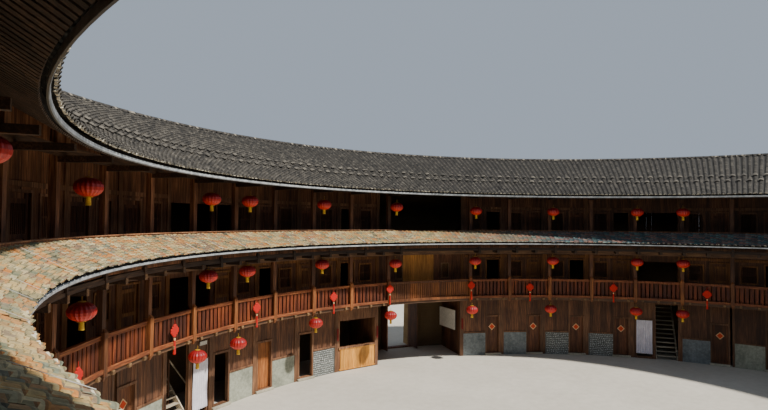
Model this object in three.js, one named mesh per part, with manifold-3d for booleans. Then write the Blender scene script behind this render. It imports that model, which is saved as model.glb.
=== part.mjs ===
// A three-storey round tulou, in millimetres. +Z is up, the ground is z = 0, and the origin is the
// centre of the courtyard. The main gate looks along -Y and the hall opposite it along +Y.
// Places round the ring are given as an angle from the gate axis, in degrees, on the left or the
// right of a person who stands in the courtyard and looks at the gate.
import * as THREE from 'three';
import { mergeVertices } from 'three/addons/utils/BufferGeometryUtils.js';
import Module from 'manifold-3d';

const wasm = await Module();
wasm.setup();

// The plan: two halls opposite each other, and 21 room bays on each side between them
const LEFT = 1;
const RIGHT = -1;
const ROOM_BAYS = 21;
const HALL_HALF = 8.4;
const BAY = (180 - 2 * HALL_HALF) / ROOM_BAYS;
const STAIR_BAY = 4;
const HALL_STEPS = [-HALL_HALF / 2, 0, HALL_HALF / 2];
const GATE_HALF = 2.79;
const CLEAR = 0.3;
// The joint between two pieces of a ring, in degrees
const SPLIT = 0.0005;
const HALL_JOINT = 0.0012;
const HALF_FROM = SPLIT;
const HALF_TO = 180 - SPLIT;

// Radii
const GALLERY_R = 14500;
const ROOM_R = 15443;
const EARTH_IN_R = 17900;
const EARTH_BASE_R = 19000;
const EARTH_TOP_R = 18750;
const RIDGE_R = 16480;
const EAVE_IN_R = 13130;
const EAVE_OUT_R = 19900;
const PENT_EAVE_R = 13210;

// Heights
const FLOOR_2 = 3000;
const FLOOR_3 = 5200;
const FLOOR_DEPTH = 189;
const EAVE_IN_Z = 7800;
const RIDGE_Z = 9715;
const RIDGE_CAP_Z = 9790;
const ROOF_DEPTH = 125;
const PENT_EAVE_Z = 5590;
const PENT_TOP_Z = 6035;
const PENT_DEPTH = 110;
const SLOPE = (RIDGE_Z - EAVE_IN_Z) / (RIDGE_R - EAVE_IN_R);

// Timber sizes
const POST = 180;
const POST_FRONT = -20;
const GALLERY_POST = 150;
const WALL_DEPTH = 100;
const RAIL_TOP = 3776;
const RAIL_HEIGHT = 76;
const RAIL_DEPTH = 70;
const PARAPET_R = 14000;
const PARAPET_TOP = 6105;
const PARAPET_DEPTH = 80;
const FLOOR_EDGE_R = { 2: 14420, 3: PARAPET_R };

// Arms that reach out under each eave, and the round beam over them or between them
const PENT_EAVE = { arm: 110, from: 13450, top: 5220, bottom: 5090, beam: [13500, 13620], rise: 5320 };
const MAIN_EAVE = { arm: 120, from: 13400, top: 7715, bottom: 7585, beam: [14300, 14418], rise: 7900 };

// Front walls of the ground floor, along one bay and through the wall
const STONE_TOP = 1080;
const STONE_DEPTH = 140;
const PLANK_FRONT = 30;
const PLANK_BACK = 100;
const JAMB = 65;
const FRAME_DEPTH = 120;
const DOOR_HEAD = 1850;
const HEAD_RAIL = 60;
const SILL = 100;
const SILL_BACK = 200;
const DOOR_FROM = 1235;
const LEAF_LAP = 20;
const LEAF_DEPTH = 40;
const LEAF_FRONT = 135;
const LEAF_CLEAR = 5;
const PIN_RADIUS = 12;

// Upper room walls, as shares of a bay counted from the gate's side
const WINDOW_FROM = 0.18;
const WINDOW_TO = 0.45;
const DOOR_FROM_SHARE = 0.61;
const DOOR_TO_SHARE = 0.93;
const LEAF_RECESS = 60;

const COLORS = {
  earth: 0xb59a72,
  tile: 0x4a4643,
  pentTile: 0x7d776a,
  timber: 0x4a2c1d,
  sunlitTimber: 0x6b3b22,
  gutter: 0xc9ccd0,
};

const model = new THREE.Group();

function material(color, roughness = 0.85, metalness = 0) {
  return new THREE.MeshStandardMaterial({ color, roughness, metalness });
}

const MATERIALS = {
  earth: material(COLORS.earth, 0.95),
  tile: material(COLORS.tile, 0.9),
  pentTile: material(COLORS.pentTile, 0.9),
  timber: material(COLORS.timber, 0.75),
  sunlit: material(COLORS.sunlitTimber, 0.7),
  gutter: material(COLORS.gutter, 0.45, 0.2),
};

// Joins and cuts

function toSolid(geometry) {
  const bare = geometry.clone();
  bare.deleteAttribute('normal');
  bare.deleteAttribute('uv');
  const merged = mergeVertices(bare, 1e-3);
  return new wasm.Manifold(new wasm.Mesh({
    numProp: 3,
    vertProperties: new Float32Array(merged.attributes.position.array),
    triVerts: new Uint32Array(merged.index.array),
  }));
}

function toGeometry(solid) {
  const mesh = solid.getMesh();
  const geometry = new THREE.BufferGeometry();
  geometry.setAttribute('position', new THREE.BufferAttribute(mesh.vertProperties, 3));
  geometry.setIndex(new THREE.BufferAttribute(mesh.triVerts, 1));
  geometry.computeVertexNormals();
  return geometry;
}

function join(solids) {
  return solids.reduce((whole, piece) => whole.add(piece));
}

function addPiece(name, solid, materialName) {
  const mesh = new THREE.Mesh(toGeometry(solid), MATERIALS[materialName]);
  mesh.name = name;
  model.add(mesh);
  return mesh;
}

// Places on the ring

function azimuth(side, angle) {
  return THREE.MathUtils.degToRad(270 + side * angle);
}

function postAngle(k) {
  return HALL_HALF + BAY * k;
}

// Angles of the posts from one angle to another, with the steps of the halls, and the middles of
// the bays where a finer ring is wanted
function stations(from, to, fine = false) {
  const all = [];
  for (const hall of [0, 180, 360]) {
    all.push(...HALL_STEPS.map((step) => hall + step));
  }
  for (let k = 0; k <= ROOM_BAYS; k += 1) {
    const angle = postAngle(k);
    all.push(angle, 360 - angle);
    if (fine && k < ROOM_BAYS) {
      all.push(angle + BAY / 2, 360 - angle - BAY / 2);
    }
  }
  if (fine) {
    all.push(GATE_HALF, 360 - GATE_HALF);
  }
  const inside = all.filter((angle) => angle > from + 0.01 && angle < to - 0.01);
  return [from, ...inside.sort((a, b) => a - b), to];
}

// A section, as [radius, height] points, carried round the ring over the given angles
function ring(section, angles, side = LEFT) {
  const closed = Math.abs(angles.at(-1) - angles[0] - 360) < 1e-6;
  const cuts = closed ? angles.slice(0, -1) : angles;
  const count = section.length;
  const positions = [];
  for (const angle of cuts) {
    const turn = azimuth(side, angle);
    for (const [radius, height] of section) {
      positions.push(radius * Math.cos(turn), radius * Math.sin(turn), height);
    }
  }
  const outline = section.map(([radius, height]) => new THREE.Vector2(radius, height));
  const turnsLeft = THREE.ShapeUtils.area(outline) > 0;
  const inwards = turnsLeft === (side === LEFT);
  const index = [];
  const addFace = (a, b, c) => index.push(a, inwards ? b : c, inwards ? c : b);
  const spans = closed ? cuts.length : cuts.length - 1;
  for (let i = 0; i < spans; i += 1) {
    const here = i * count;
    const next = ((i + 1) % cuts.length) * count;
    for (let j = 0; j < count; j += 1) {
      const k = (j + 1) % count;
      addFace(here + j, next + j, here + k);
      addFace(here + k, next + j, next + k);
    }
  }
  if (!closed) {
    const last = (cuts.length - 1) * count;
    for (const [a, b, c] of THREE.ShapeUtils.triangulateShape(outline, [])) {
      const flip = !turnsLeft;
      addFace(a, flip ? c : b, flip ? b : c);
      addFace(last + a, last + (flip ? b : c), last + (flip ? c : b));
    }
  }
  const geometry = new THREE.BufferGeometry();
  geometry.setAttribute('position', new THREE.Float32BufferAttribute(positions, 3));
  geometry.setIndex(index);
  return toSolid(geometry);
}

// A wall or slab of one height all round: inner and outer radius, lowest and highest point
function band(innerR, outerR, bottom, top) {
  return [[innerR, bottom], [outerR, bottom], [outerR, top], [innerR, top]];
}

// One bay's own frame: s runs along the wall's courtyard face away from the gate, t goes out
// from that face
function bayFrame(side, k) {
  const start = azimuth(side, postAngle(k));
  const end = azimuth(side, postAngle(k + 1));
  const a = new THREE.Vector2(Math.cos(start), Math.sin(start)).multiplyScalar(ROOM_R);
  const b = new THREE.Vector2(Math.cos(end), Math.sin(end)).multiplyScalar(ROOM_R);
  const along = b.clone().sub(a);
  const length = along.length();
  along.normalize();
  const out = a.clone().add(b).normalize();
  return {
    length,
    point: (s, t) => a.clone().addScaledVector(along, s).addScaledVector(out, t),
  };
}

// A block that stands square: s0 to s1, t0 to t1 and z0 to z1. Its corners are set to these very
// numbers, so blocks that share one touch without a gap.
function block(s0, s1, t0, t1, z0, z1) {
  const geometry = new THREE.BoxGeometry(2, 2, 2);
  const { position } = geometry.attributes;
  for (let i = 0; i < position.count; i += 1) {
    const s = position.getX(i) < 0 ? s0 : s1;
    const t = position.getY(i) < 0 ? t0 : t1;
    const z = position.getZ(i) < 0 ? z0 : z1;
    position.setXYZ(i, s, t, z);
  }
  return toSolid(geometry);
}

// A solid made square is carried to its bay. On the left side the bay's frame is a mirror image,
// so the faces are turned over.
function inBay(frame, solid) {
  const geometry = toGeometry(solid);
  const origin = frame.point(0, 0);
  const along = frame.point(1, 0).sub(origin);
  const out = frame.point(0, 1).sub(origin);
  const place = new THREE.Matrix4().makeBasis(
    new THREE.Vector3(along.x, along.y, 0),
    new THREE.Vector3(out.x, out.y, 0),
    new THREE.Vector3(0, 0, 1),
  );
  place.setPosition(origin.x, origin.y, 0);
  geometry.applyMatrix4(place);
  if (place.determinant() < 0) {
    const { array } = geometry.index;
    for (let i = 0; i < array.length; i += 3) {
      [array[i + 1], array[i + 2]] = [array[i + 2], array[i + 1]];
    }
  }
  return toSolid(geometry);
}

// A square post on the ring, facing the centre
function post(side, angle, radius, width, z0, z1) {
  const geometry = new THREE.BoxGeometry(width, width, z1 - z0);
  const turn = azimuth(side, angle);
  geometry.rotateZ(turn);
  geometry.translate(radius * Math.cos(turn), radius * Math.sin(turn), (z0 + z1) / 2);
  return toSolid(geometry);
}

// How far a straight bay cuts inside the circle at this radius
function sagitta(radius) {
  return radius * (1 - Math.cos(THREE.MathUtils.degToRad(BAY / 2)));
}

// The underside of the main roof's inner slope, lowered to clear straight timber under it
function roofUnderside(radius) {
  const rise = SLOPE * (radius - EAVE_IN_R);
  return EAVE_IN_Z + rise - ROOF_DEPTH - SLOPE * sagitta(radius) - CLEAR;
}

const sideName = { [LEFT]: 'left', [RIGHT]: 'right' };

// Rammed-earth outer wall, with the gate's doorway and the windows of the third storey
const GATE_HEIGHT = 2600;
const OUTER_WINDOW = { width: 700, height: 900, sill: 6150 };

function earthSection(bottom) {
  const innerTop = RIDGE_Z - SLOPE * (EARTH_IN_R - RIDGE_R) - ROOF_DEPTH - CLEAR;
  const outerTop = RIDGE_Z - SLOPE * (EARTH_TOP_R - RIDGE_R) - ROOF_DEPTH - CLEAR;
  return [
    [EARTH_IN_R, bottom],
    [EARTH_BASE_R, bottom],
    [EARTH_TOP_R, outerTop],
    [EARTH_IN_R, innerTop],
  ];
}

function outerWindow(angle) {
  const reach = EARTH_BASE_R - EARTH_IN_R + 400;
  const geometry = new THREE.BoxGeometry(reach, OUTER_WINDOW.width, OUTER_WINDOW.height);
  const turn = azimuth(LEFT, angle);
  const middle = (EARTH_BASE_R + EARTH_IN_R) / 2;
  geometry.rotateZ(turn);
  const height = OUTER_WINDOW.sill + OUTER_WINDOW.height / 2;
  geometry.translate(middle * Math.cos(turn), middle * Math.sin(turn), height);
  return toSolid(geometry);
}

function earthWalls() {
  const corners = [GATE_HALF, 90, 180, 270, 360 - GATE_HALF];
  for (let i = 0; i < 4; i += 1) {
    const from = corners[i] + (i === 0 ? 0 : SPLIT);
    const to = corners[i + 1] - (i === 3 ? 0 : SPLIT);
    let wall = ring(earthSection(0), stations(from, to, true));
    for (let k = 0; k < ROOM_BAYS; k += 1) {
      const middle = postAngle(k) + BAY / 2;
      for (const angle of [middle, 360 - middle]) {
        if (angle < from + 2 || angle > to - 2) {
          continue;
        }
        wall = wall.subtract(outerWindow(angle));
      }
    }
    addPiece(`earth_wall_${i + 1}`, wall, 'earth');
  }
  const over = [-GATE_HALF + HALL_JOINT, 0, GATE_HALF - HALL_JOINT];
  addPiece('earth_wall_over_gate', ring(earthSection(GATE_HEIGHT), over), 'earth');
}

// The main gate: a frame in the doorway, with a stop for the leaves, and two leaves on pins. They
// stand open, turned inwards.
const GATE_FRAME = { front: 18200, stop: 18050, back: 17930, jamb: 74, head: 130, sill: 60 };
const GATE_LEAF = { pivotX: 830, pivotR: 18005, depth: 50, edge: 25, clear: 6, meeting: 4, pin: 15 };

function gateFrame() {
  const { front, stop, back, jamb, head, sill } = GATE_FRAME;
  const half = back * Math.tan(THREE.MathUtils.degToRad(GATE_HALF)) - CLEAR;
  const top = GATE_HEIGHT - CLEAR;
  const pieces = [
    block(-half, half, -front, -back, 0, sill),
    block(-half, half, -front, -back, GATE_HEIGHT - head, top),
    block(-half, jamb - half, -front, -stop, 0, top),
    block(half - jamb, half, -front, -stop, 0, top),
  ];
  addPiece('gate_frame', join(pieces), 'timber');
}

function gateLeaf(side) {
  const { pivotX, pivotR, depth, edge, clear, meeting, pin } = GATE_LEAF;
  const x = side * pivotX;
  const hung = -pivotR - edge;
  const length = pivotX + edge - meeting;
  const bottom = GATE_FRAME.sill + clear;
  const top = GATE_HEIGHT - GATE_FRAME.head - clear;
  const leaf = block(x - depth / 2, x + depth / 2, hung, hung + length, bottom, top);
  const post = new THREE.CylinderGeometry(pin, pin, top - bottom + 2 * (clear - CLEAR), 6);
  post.rotateX(Math.PI / 2);
  post.translate(x, -pivotR, (bottom + top) / 2);
  addPiece(`gate_leaf_${sideName[side]}`, leaf.add(toSolid(post)), 'timber');
}

// Main roof over everything, in four quarters
function mainRoof() {
  const outEaveZ = RIDGE_Z - SLOPE * (EAVE_OUT_R - RIDGE_R);
  const cap = (RIDGE_CAP_Z - RIDGE_Z) / 0.35;
  const section = [
    [EAVE_IN_R, EAVE_IN_Z - ROOF_DEPTH],
    [RIDGE_R, RIDGE_Z - ROOF_DEPTH],
    [EAVE_OUT_R, outEaveZ - ROOF_DEPTH],
    [EAVE_OUT_R, outEaveZ],
    [RIDGE_R + cap / 2, RIDGE_Z - SLOPE * cap / 2],
    [RIDGE_R, RIDGE_CAP_Z],
    [RIDGE_R - cap / 2, RIDGE_Z - SLOPE * cap / 2],
    [EAVE_IN_R, EAVE_IN_Z],
  ];
  for (let i = 0; i < 4; i += 1) {
    const angles = stations(90 * i + SPLIT, 90 * (i + 1) - SPLIT, true);
    addPiece(`main_roof_${i + 1}`, ring(section, angles), 'tile');
  }
}

// Pent roof between the second and the third storey, in two halves
function pentRoof() {
  const outer = PARAPET_R - sagitta(PARAPET_R) - CLEAR;
  const section = [
    [PENT_EAVE_R, PENT_EAVE_Z - PENT_DEPTH],
    [outer, PENT_TOP_Z - PENT_DEPTH],
    [outer, PENT_TOP_Z],
    [PENT_EAVE_R, PENT_EAVE_Z],
  ];
  for (const side of [LEFT, RIGHT]) {
    const angles = stations(HALF_FROM, HALF_TO, true);
    addPiece(`pent_roof_${sideName[side]}`, ring(section, angles, side), 'pentTile');
  }
}

// Gutters: an open trough that hangs on the eave's edge
function gutter(name, edgeR, rimZ, width, depth) {
  const wall = 8;
  const outer = edgeR - CLEAR;
  const inner = outer - width;
  const slant = 22;
  const section = [
    [inner, rimZ],
    [inner + slant, rimZ - depth],
    [outer, rimZ - depth],
    [outer, rimZ],
    [outer - wall, rimZ - depth + wall],
    [inner + slant + wall / 2, rimZ - depth + wall],
  ];
  addPiece(name, ring(section, stations(0, 360)), 'gutter');
}

// Floors of the galleries and rooms, open over the two stairs
const STAIR_FROM = 1060;
const STAIR_TO = 1990;
const STAIR_HEADROOM = 300;
const STAIR_HEAD = 200;

function stairHole(side, level) {
  const from = STAIR_FROM - CLEAR;
  const to = STAIR_TO + CLEAR;
  const reach = EARTH_IN_R - ROOM_R + 200;
  const hole = block(from, to, STAIR_HEADROOM, reach, level - 400, level + 200);
  return inBay(bayFrame(side, STAIR_BAY), hole);
}

function floors() {
  const outer = EARTH_IN_R - CLEAR;
  for (const [storey, level] of [[2, FLOOR_2], [3, FLOOR_3]]) {
    for (const side of [LEFT, RIGHT]) {
      const section = band(FLOOR_EDGE_R[storey], outer, level - FLOOR_DEPTH, level);
      let slab = ring(section, stations(HALF_FROM, HALF_TO), side);
      if (storey === 2) {
        slab = slab.subtract(stairHole(side, level));
      }
      addPiece(`floor_${storey}_${sideName[side]}`, slab, 'timber');
    }
  }
}

// Gallery fronts: the posts with the handrail of the second storey, or with the boarded parapet of
// the third, which carries the top edge of the pent roof and is tied to each post
function galleryFronts() {
  const railDepth = [GALLERY_R - RAIL_DEPTH / 2, GALLERY_R + RAIL_DEPTH / 2];
  const storeys = [
    {
      name: 'gallery_front_2',
      floor: FLOOR_2 + CLEAR,
      top: FLOOR_3 - FLOOR_DEPTH - CLEAR,
      board: band(...railDepth, RAIL_TOP - RAIL_HEIGHT, RAIL_TOP),
    },
    {
      name: 'gallery_front_3',
      floor: FLOOR_3 + CLEAR,
      top: roofUnderside(GALLERY_R - GALLERY_POST / 2),
      board: band(PARAPET_R, PARAPET_R + PARAPET_DEPTH, FLOOR_3 + CLEAR, PARAPET_TOP),
      tie: { from: PARAPET_R + PARAPET_DEPTH / 2, width: 70, bottom: 5960, top: 6040 },
    },
  ];
  for (const side of [LEFT, RIGHT]) {
    for (const { name, floor, top, board, tie } of storeys) {
      const pieces = [ring(board, stations(HALF_FROM, HALF_TO), side)];
      for (let k = 0; k <= ROOM_BAYS; k += 1) {
        pieces.push(post(side, postAngle(k), GALLERY_R, GALLERY_POST, floor, top));
        if (tie) {
          pieces.push(arm(side, postAngle(k), tie.from, GALLERY_R, tie.width, tie.bottom, tie.top));
        }
      }
      addPiece(`${name}_${sideName[side]}`, join(pieces), 'sunlit');
    }
  }
}

// An arm on the ring, square in section, from one radius to another
function arm(side, angle, fromR, toR, width, bottom, top) {
  const geometry = new THREE.BoxGeometry(toR - fromR, width, top - bottom);
  geometry.translate((fromR + toR) / 2, 0, (bottom + top) / 2);
  geometry.rotateZ(azimuth(side, angle));
  return toSolid(geometry);
}

// Arms and a ring of timber under each eave. The pent roof has an arm at every post and in the
// middle of each bay, which bear on the floor's edge and carry a purlin. The arms of the main roof
// bear on the posts, and a beam joins them there.
function eaveFrames() {
  const eaves = [
    { name: 'pent_eave_frame', size: PENT_EAVE, bearing: PARAPET_R - sagitta(PARAPET_R), step: 0.5 },
    { name: 'main_eave_frame', size: MAIN_EAVE, bearing: GALLERY_R - GALLERY_POST / 2, step: 1 },
  ];
  for (const side of [LEFT, RIGHT]) {
    for (const { name, size, bearing, step } of eaves) {
      const beam = band(...size.beam, size.top - 20, size.rise);
      const pieces = [ring(beam, stations(HALF_FROM, HALF_TO), side)];
      for (let k = 0; k <= ROOM_BAYS; k += step) {
        const to = bearing - CLEAR;
        pieces.push(arm(side, postAngle(k), size.from, to, size.arm, size.bottom, size.top));
      }
      addPiece(`${name}_${sideName[side]}`, join(pieces), 'timber');
    }
  }
}

// Room walls of the second and third storeys: one window and one door in each bay. An open
// doorway is cut through, and a closed one holds its leaf set back in the wall.
const UPPER = {
  2: { floor: FLOOR_2, doorTop: 4650, sill: 3850, windowTop: 4550, open: (k) => k % 2 === 0 },
  3: { floor: FLOOR_3, doorTop: 7000, sill: 6050, windowTop: 6950, open: (k) => k % 3 === 0 && k !== 6 },
};

function upperWallSection(storey) {
  const outer = ROOM_R + WALL_DEPTH;
  const floor = UPPER[storey].floor + CLEAR;
  if (storey === 2) {
    return band(ROOM_R, outer, floor, FLOOR_3 - FLOOR_DEPTH - CLEAR);
  }
  return band(ROOM_R, outer, floor, roofUnderside(ROOM_R));
}

function cutUpperBay(wall, side, k, storey) {
  const frame = bayFrame(side, k);
  const { floor, doorTop, sill, windowTop, open } = UPPER[storey];
  const through = WALL_DEPTH + 60;
  if (k === STAIR_BAY) {
    const from = POST / 2;
    const opening = block(from, frame.length - from, -60, through, floor - 60, doorTop);
    return wall.subtract(inBay(frame, opening));
  }
  const [windowFrom, windowTo, doorFrom, doorTo] = [WINDOW_FROM, WINDOW_TO, DOOR_FROM_SHARE, DOOR_TO_SHARE]
    .map((share) => frame.length * share);
  const window = block(windowFrom, windowTo, -60, through, sill, windowTop);
  const back = open(k) ? through : LEAF_RECESS;
  const door = block(doorFrom, doorTo, -60, back, floor - 60, doorTop);
  return wall.subtract(inBay(frame, window)).subtract(inBay(frame, door));
}

function upperWalls() {
  for (const storey of [2, 3]) {
    const section = upperWallSection(storey);
    for (const side of [LEFT, RIGHT]) {
      let wall = ring(section, stations(HALL_HALF, 180 - HALL_HALF), side);
      for (let k = 0; k < ROOM_BAYS; k += 1) {
        wall = cutUpperBay(wall, side, k, storey);
      }
      addPiece(`room_wall_${storey}_${sideName[side]}`, wall, 'timber');
    }
    const rear = stations(180 - HALL_HALF + HALL_JOINT, 180 + HALL_HALF - HALL_JOINT);
    addPiece(`room_wall_${storey}_rear_hall`, ring(section, rear), 'timber');
  }
  const front = stations(-HALL_HALF + HALL_JOINT, HALL_HALF - HALL_JOINT);
  addPiece('room_wall_2_gate_hall', ring(upperWallSection(2), front), 'timber');
}

// Ground floor: each bay has a post at its gate side, a stone half wall with planks on it, and a
// framed doorway beside the next post
const GROUND_TOP = FLOOR_2 - FLOOR_DEPTH - CLEAR;

function doorway(from, to) {
  return [
    block(from, from + JAMB, 0, FRAME_DEPTH, 0, GROUND_TOP),
    block(to - JAMB, to, 0, FRAME_DEPTH, 0, GROUND_TOP),
    block(from, to, 0, SILL_BACK, 0, SILL),
    block(from, to, 0, SILL_BACK, DOOR_HEAD, DOOR_HEAD + HEAD_RAIL),
    block(from + JAMB, to - JAMB, PLANK_FRONT, PLANK_BACK, DOOR_HEAD + HEAD_RAIL, GROUND_TOP),
  ];
}

function groundPost() {
  return block(-POST / 2, POST / 2, POST_FRONT, POST_FRONT + POST, 0, GROUND_TOP);
}

function bayEnd(frame) {
  return frame.length - POST / 2 - 6;
}

function frontBay(side, k) {
  const frame = bayFrame(side, k);
  const pieces = [
    groundPost(),
    block(POST / 2, DOOR_FROM, 0, STONE_DEPTH, 0, STONE_TOP),
    block(POST / 2, DOOR_FROM, PLANK_FRONT, PLANK_BACK, STONE_TOP, GROUND_TOP),
    ...doorway(DOOR_FROM, bayEnd(frame)),
  ];
  addPiece(`front_wall_${sideName[side]}_${k}`, inBay(frame, join(pieces)), 'timber');
}

// The shop beside the passage: a counter with a boarded front, and a boarded band over it
const COUNTER_TOP = 960;
const COUNTER_BOARD = 60;
const COUNTER_FRONT = -60;
const SHOP_HEAD = 2150;

function shopBay(side) {
  const frame = bayFrame(side, 0);
  const end = bayEnd(frame);
  const pieces = [
    groundPost(),
    block(POST / 2, end, 0, FRAME_DEPTH, 0, COUNTER_TOP),
    block(POST / 2, end, COUNTER_FRONT, STONE_DEPTH, COUNTER_TOP, COUNTER_TOP + COUNTER_BOARD),
    block(POST / 2, end, 0, FRAME_DEPTH, SHOP_HEAD, GROUND_TOP),
    block(end - JAMB, end, 0, FRAME_DEPTH, COUNTER_TOP, GROUND_TOP),
  ];
  addPiece(`front_wall_${sideName[side]}_0`, inBay(frame, join(pieces)), 'timber');
}

// The stair bay: a curtained doorway on the gate's side, then the foot of the stair
const CURTAIN_FROM = 145;
const CURTAIN_TO = 945;
const STAIR_POST_TO = 1045;

function stairBay(side) {
  const frame = bayFrame(side, STAIR_BAY);
  const pieces = [
    groundPost(),
    block(POST / 2, CURTAIN_FROM, PLANK_FRONT, PLANK_BACK, 0, GROUND_TOP),
    ...doorway(CURTAIN_FROM, CURTAIN_TO),
    block(CURTAIN_TO, STAIR_POST_TO, 0, FRAME_DEPTH, 0, GROUND_TOP),
    block(STAIR_POST_TO, bayEnd(frame), PLANK_FRONT, PLANK_BACK, GROUND_TOP - STAIR_HEAD, GROUND_TOP),
  ];
  addPiece(`front_wall_${sideName[side]}_${STAIR_BAY}`, inBay(frame, join(pieces)), 'timber');
}

// The bays further round, with every door closed and part of the wall
function farFront(side) {
  const first = 6;
  const section = band(ROOM_R, ROOM_R + STONE_DEPTH, 0, GROUND_TOP);
  let wall = ring(section, stations(postAngle(first), 180 - HALL_HALF), side);
  for (let k = first; k < ROOM_BAYS; k += 1) {
    const frame = bayFrame(side, k);
    const start = k === first ? POST / 2 + 20 : POST / 2;
    const planks = block(start, DOOR_FROM, -60, PLANK_FRONT, STONE_TOP, GROUND_TOP + 60);
    const door = block(DOOR_FROM + JAMB, bayEnd(frame) - JAMB, -60, LEAF_RECESS, SILL, DOOR_HEAD);
    wall = wall.subtract(inBay(frame, planks)).subtract(inBay(frame, door));
  }
  addPiece(`front_wall_${sideName[side]}_far`, wall, 'timber');
}

function groundFloor() {
  for (const side of [LEFT, RIGHT]) {
    for (const k of [1, 2, 3, 5]) {
      frontBay(side, k);
    }
    stairBay(side);
    farFront(side);
  }
  shopBay(LEFT);
  frontBay(RIGHT, 0);
}

// Doors that the wall's frames carry on a pin at the top and at the bottom
const HUNG_DOORS = [[RIGHT, 0], [RIGHT, 1], [RIGHT, 2], [RIGHT, 3], [RIGHT, 5], [LEFT, 2], [LEFT, 5]];

function hungDoor(side, k) {
  const frame = bayFrame(side, k);
  const from = DOOR_FROM + JAMB - LEAF_LAP;
  const to = bayEnd(frame) - JAMB + LEAF_LAP;
  const bottom = SILL + LEAF_CLEAR;
  const top = DOOR_HEAD - LEAF_CLEAR;
  const leaf = block(from, to, LEAF_FRONT, LEAF_FRONT + LEAF_DEPTH, bottom, top);
  const pin = new THREE.CylinderGeometry(PIN_RADIUS, PIN_RADIUS, DOOR_HEAD - SILL - 2 * CLEAR, 6);
  pin.rotateX(Math.PI / 2);
  pin.translate(to - LEAF_LAP, LEAF_FRONT + LEAF_DEPTH / 2, (DOOR_HEAD + SILL) / 2);
  addPiece(`door_${sideName[side]}_${k}`, inBay(frame, leaf.add(toSolid(pin))), 'timber');
}

// The two stairs: open treads between two strings
const STEPS = 16;
const RISE = FLOOR_2 / STEPS;
const GOING = 150;
const TREAD = { width: GOING + 30, depth: 35, inset: 20, housing: 15 };
const STRING = { thickness: 45, depth: 320, foot: 10, top: FLOOR_2 - 10 };

// The side of a string, with x going in from the wall and y going up
function stringOutline() {
  const pitch = RISE / GOING;
  const { depth, foot, top } = STRING;
  const headOut = foot + (top - RISE) / pitch;
  const headIn = headOut + 60;
  const outline = new THREE.Shape();
  outline.moveTo(foot, 0);
  outline.lineTo(foot + (depth - RISE) / pitch, 0);
  outline.lineTo(headIn, RISE + (headIn - foot) * pitch - depth);
  outline.lineTo(headIn, top);
  outline.lineTo(headOut, top);
  outline.lineTo(foot, RISE);
  outline.closePath();
  return outline;
}

function stair(side) {
  const pieces = [];
  for (const end of [STAIR_FROM + STRING.thickness, STAIR_TO]) {
    const options = { depth: STRING.thickness, bevelEnabled: false };
    const string = new THREE.ExtrudeGeometry(stringOutline(), options);
    // The outline's x turns to t, its y to z, and its depth runs back along s
    const place = new THREE.Matrix4().makeBasis(
      new THREE.Vector3(0, 1, 0),
      new THREE.Vector3(0, 0, 1),
      new THREE.Vector3(1, 0, 0),
    );
    place.setPosition(end - STRING.thickness, 0, 0);
    string.applyMatrix4(place);
    pieces.push(toSolid(string));
  }
  const from = STAIR_FROM + STRING.thickness - TREAD.housing;
  const to = STAIR_TO - STRING.thickness + TREAD.housing;
  for (let i = 1; i < STEPS; i += 1) {
    const front = STRING.foot + (i - 1) * GOING + TREAD.inset;
    pieces.push(block(from, to, front, front + TREAD.width, i * RISE - TREAD.depth, i * RISE));
  }
  addPiece(`stair_${sideName[side]}`, inBay(bayFrame(side, STAIR_BAY), join(pieces)), 'timber');
}

// The side walls of the gate passage
function passageWall(side) {
  const from = ROOM_R + POST + 40;
  const to = EARTH_IN_R - 12;
  const wall = new THREE.BoxGeometry(to - from, WALL_DEPTH, GROUND_TOP);
  const turn = azimuth(side, HALL_HALF);
  const middle = (from + to) / 2;
  wall.rotateZ(turn);
  wall.translate(middle * Math.cos(turn), middle * Math.sin(turn), GROUND_TOP / 2);
  addPiece(`passage_wall_${sideName[side]}`, toSolid(wall), 'timber');
}

earthWalls();
gateFrame();
gateLeaf(LEFT);
gateLeaf(RIGHT);
mainRoof();
pentRoof();
gutter('eave_gutter', EAVE_IN_R, 7700, 44, 78);
gutter('pent_gutter', PENT_EAVE_R, 5530, 64, 76);
floors();
galleryFronts();
eaveFrames();
upperWalls();
groundFloor();
for (const [side, k] of HUNG_DOORS) {
  hungDoor(side, k);
}
for (const side of [LEFT, RIGHT]) {
  stair(side);
  passageWall(side);
}

export default model;
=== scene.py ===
# %% [markdown]
# # A round house of earth and timber
#
# The house is a ring of rammed earth that stands round a courtyard. Inside the ring, timber
# galleries run in front of the rooms on three storeys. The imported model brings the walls, floors,
# roofs, posts and doors at their true size. This script dresses them: it lays the tiles and boards,
# hangs the lanterns, and gives each surface its finish.

# %% Load the frame
import math
import random

import bmesh
import bpy
from mathutils import Matrix, Vector, noise


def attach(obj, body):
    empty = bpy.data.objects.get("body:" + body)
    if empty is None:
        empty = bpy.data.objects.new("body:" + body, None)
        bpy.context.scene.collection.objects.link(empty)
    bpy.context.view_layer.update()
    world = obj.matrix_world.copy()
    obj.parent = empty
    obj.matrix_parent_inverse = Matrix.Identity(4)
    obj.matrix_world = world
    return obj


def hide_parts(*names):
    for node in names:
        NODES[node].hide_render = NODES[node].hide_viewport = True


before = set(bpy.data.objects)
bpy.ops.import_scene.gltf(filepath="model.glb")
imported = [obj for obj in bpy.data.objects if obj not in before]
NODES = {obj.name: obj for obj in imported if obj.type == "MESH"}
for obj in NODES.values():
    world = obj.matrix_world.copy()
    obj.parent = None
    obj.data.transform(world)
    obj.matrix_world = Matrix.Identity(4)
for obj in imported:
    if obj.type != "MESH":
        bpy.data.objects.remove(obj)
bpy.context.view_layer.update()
SEED = 11
chance = random.Random(SEED)
noise.seed_set(SEED)

# %% [markdown]
# ## The plan
#
# Places on the ring are counted from the gate, in bays of equal width, to the left and to the
# right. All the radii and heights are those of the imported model, in metres, so that a board laid
# here lies on the wall that is already there.

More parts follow.
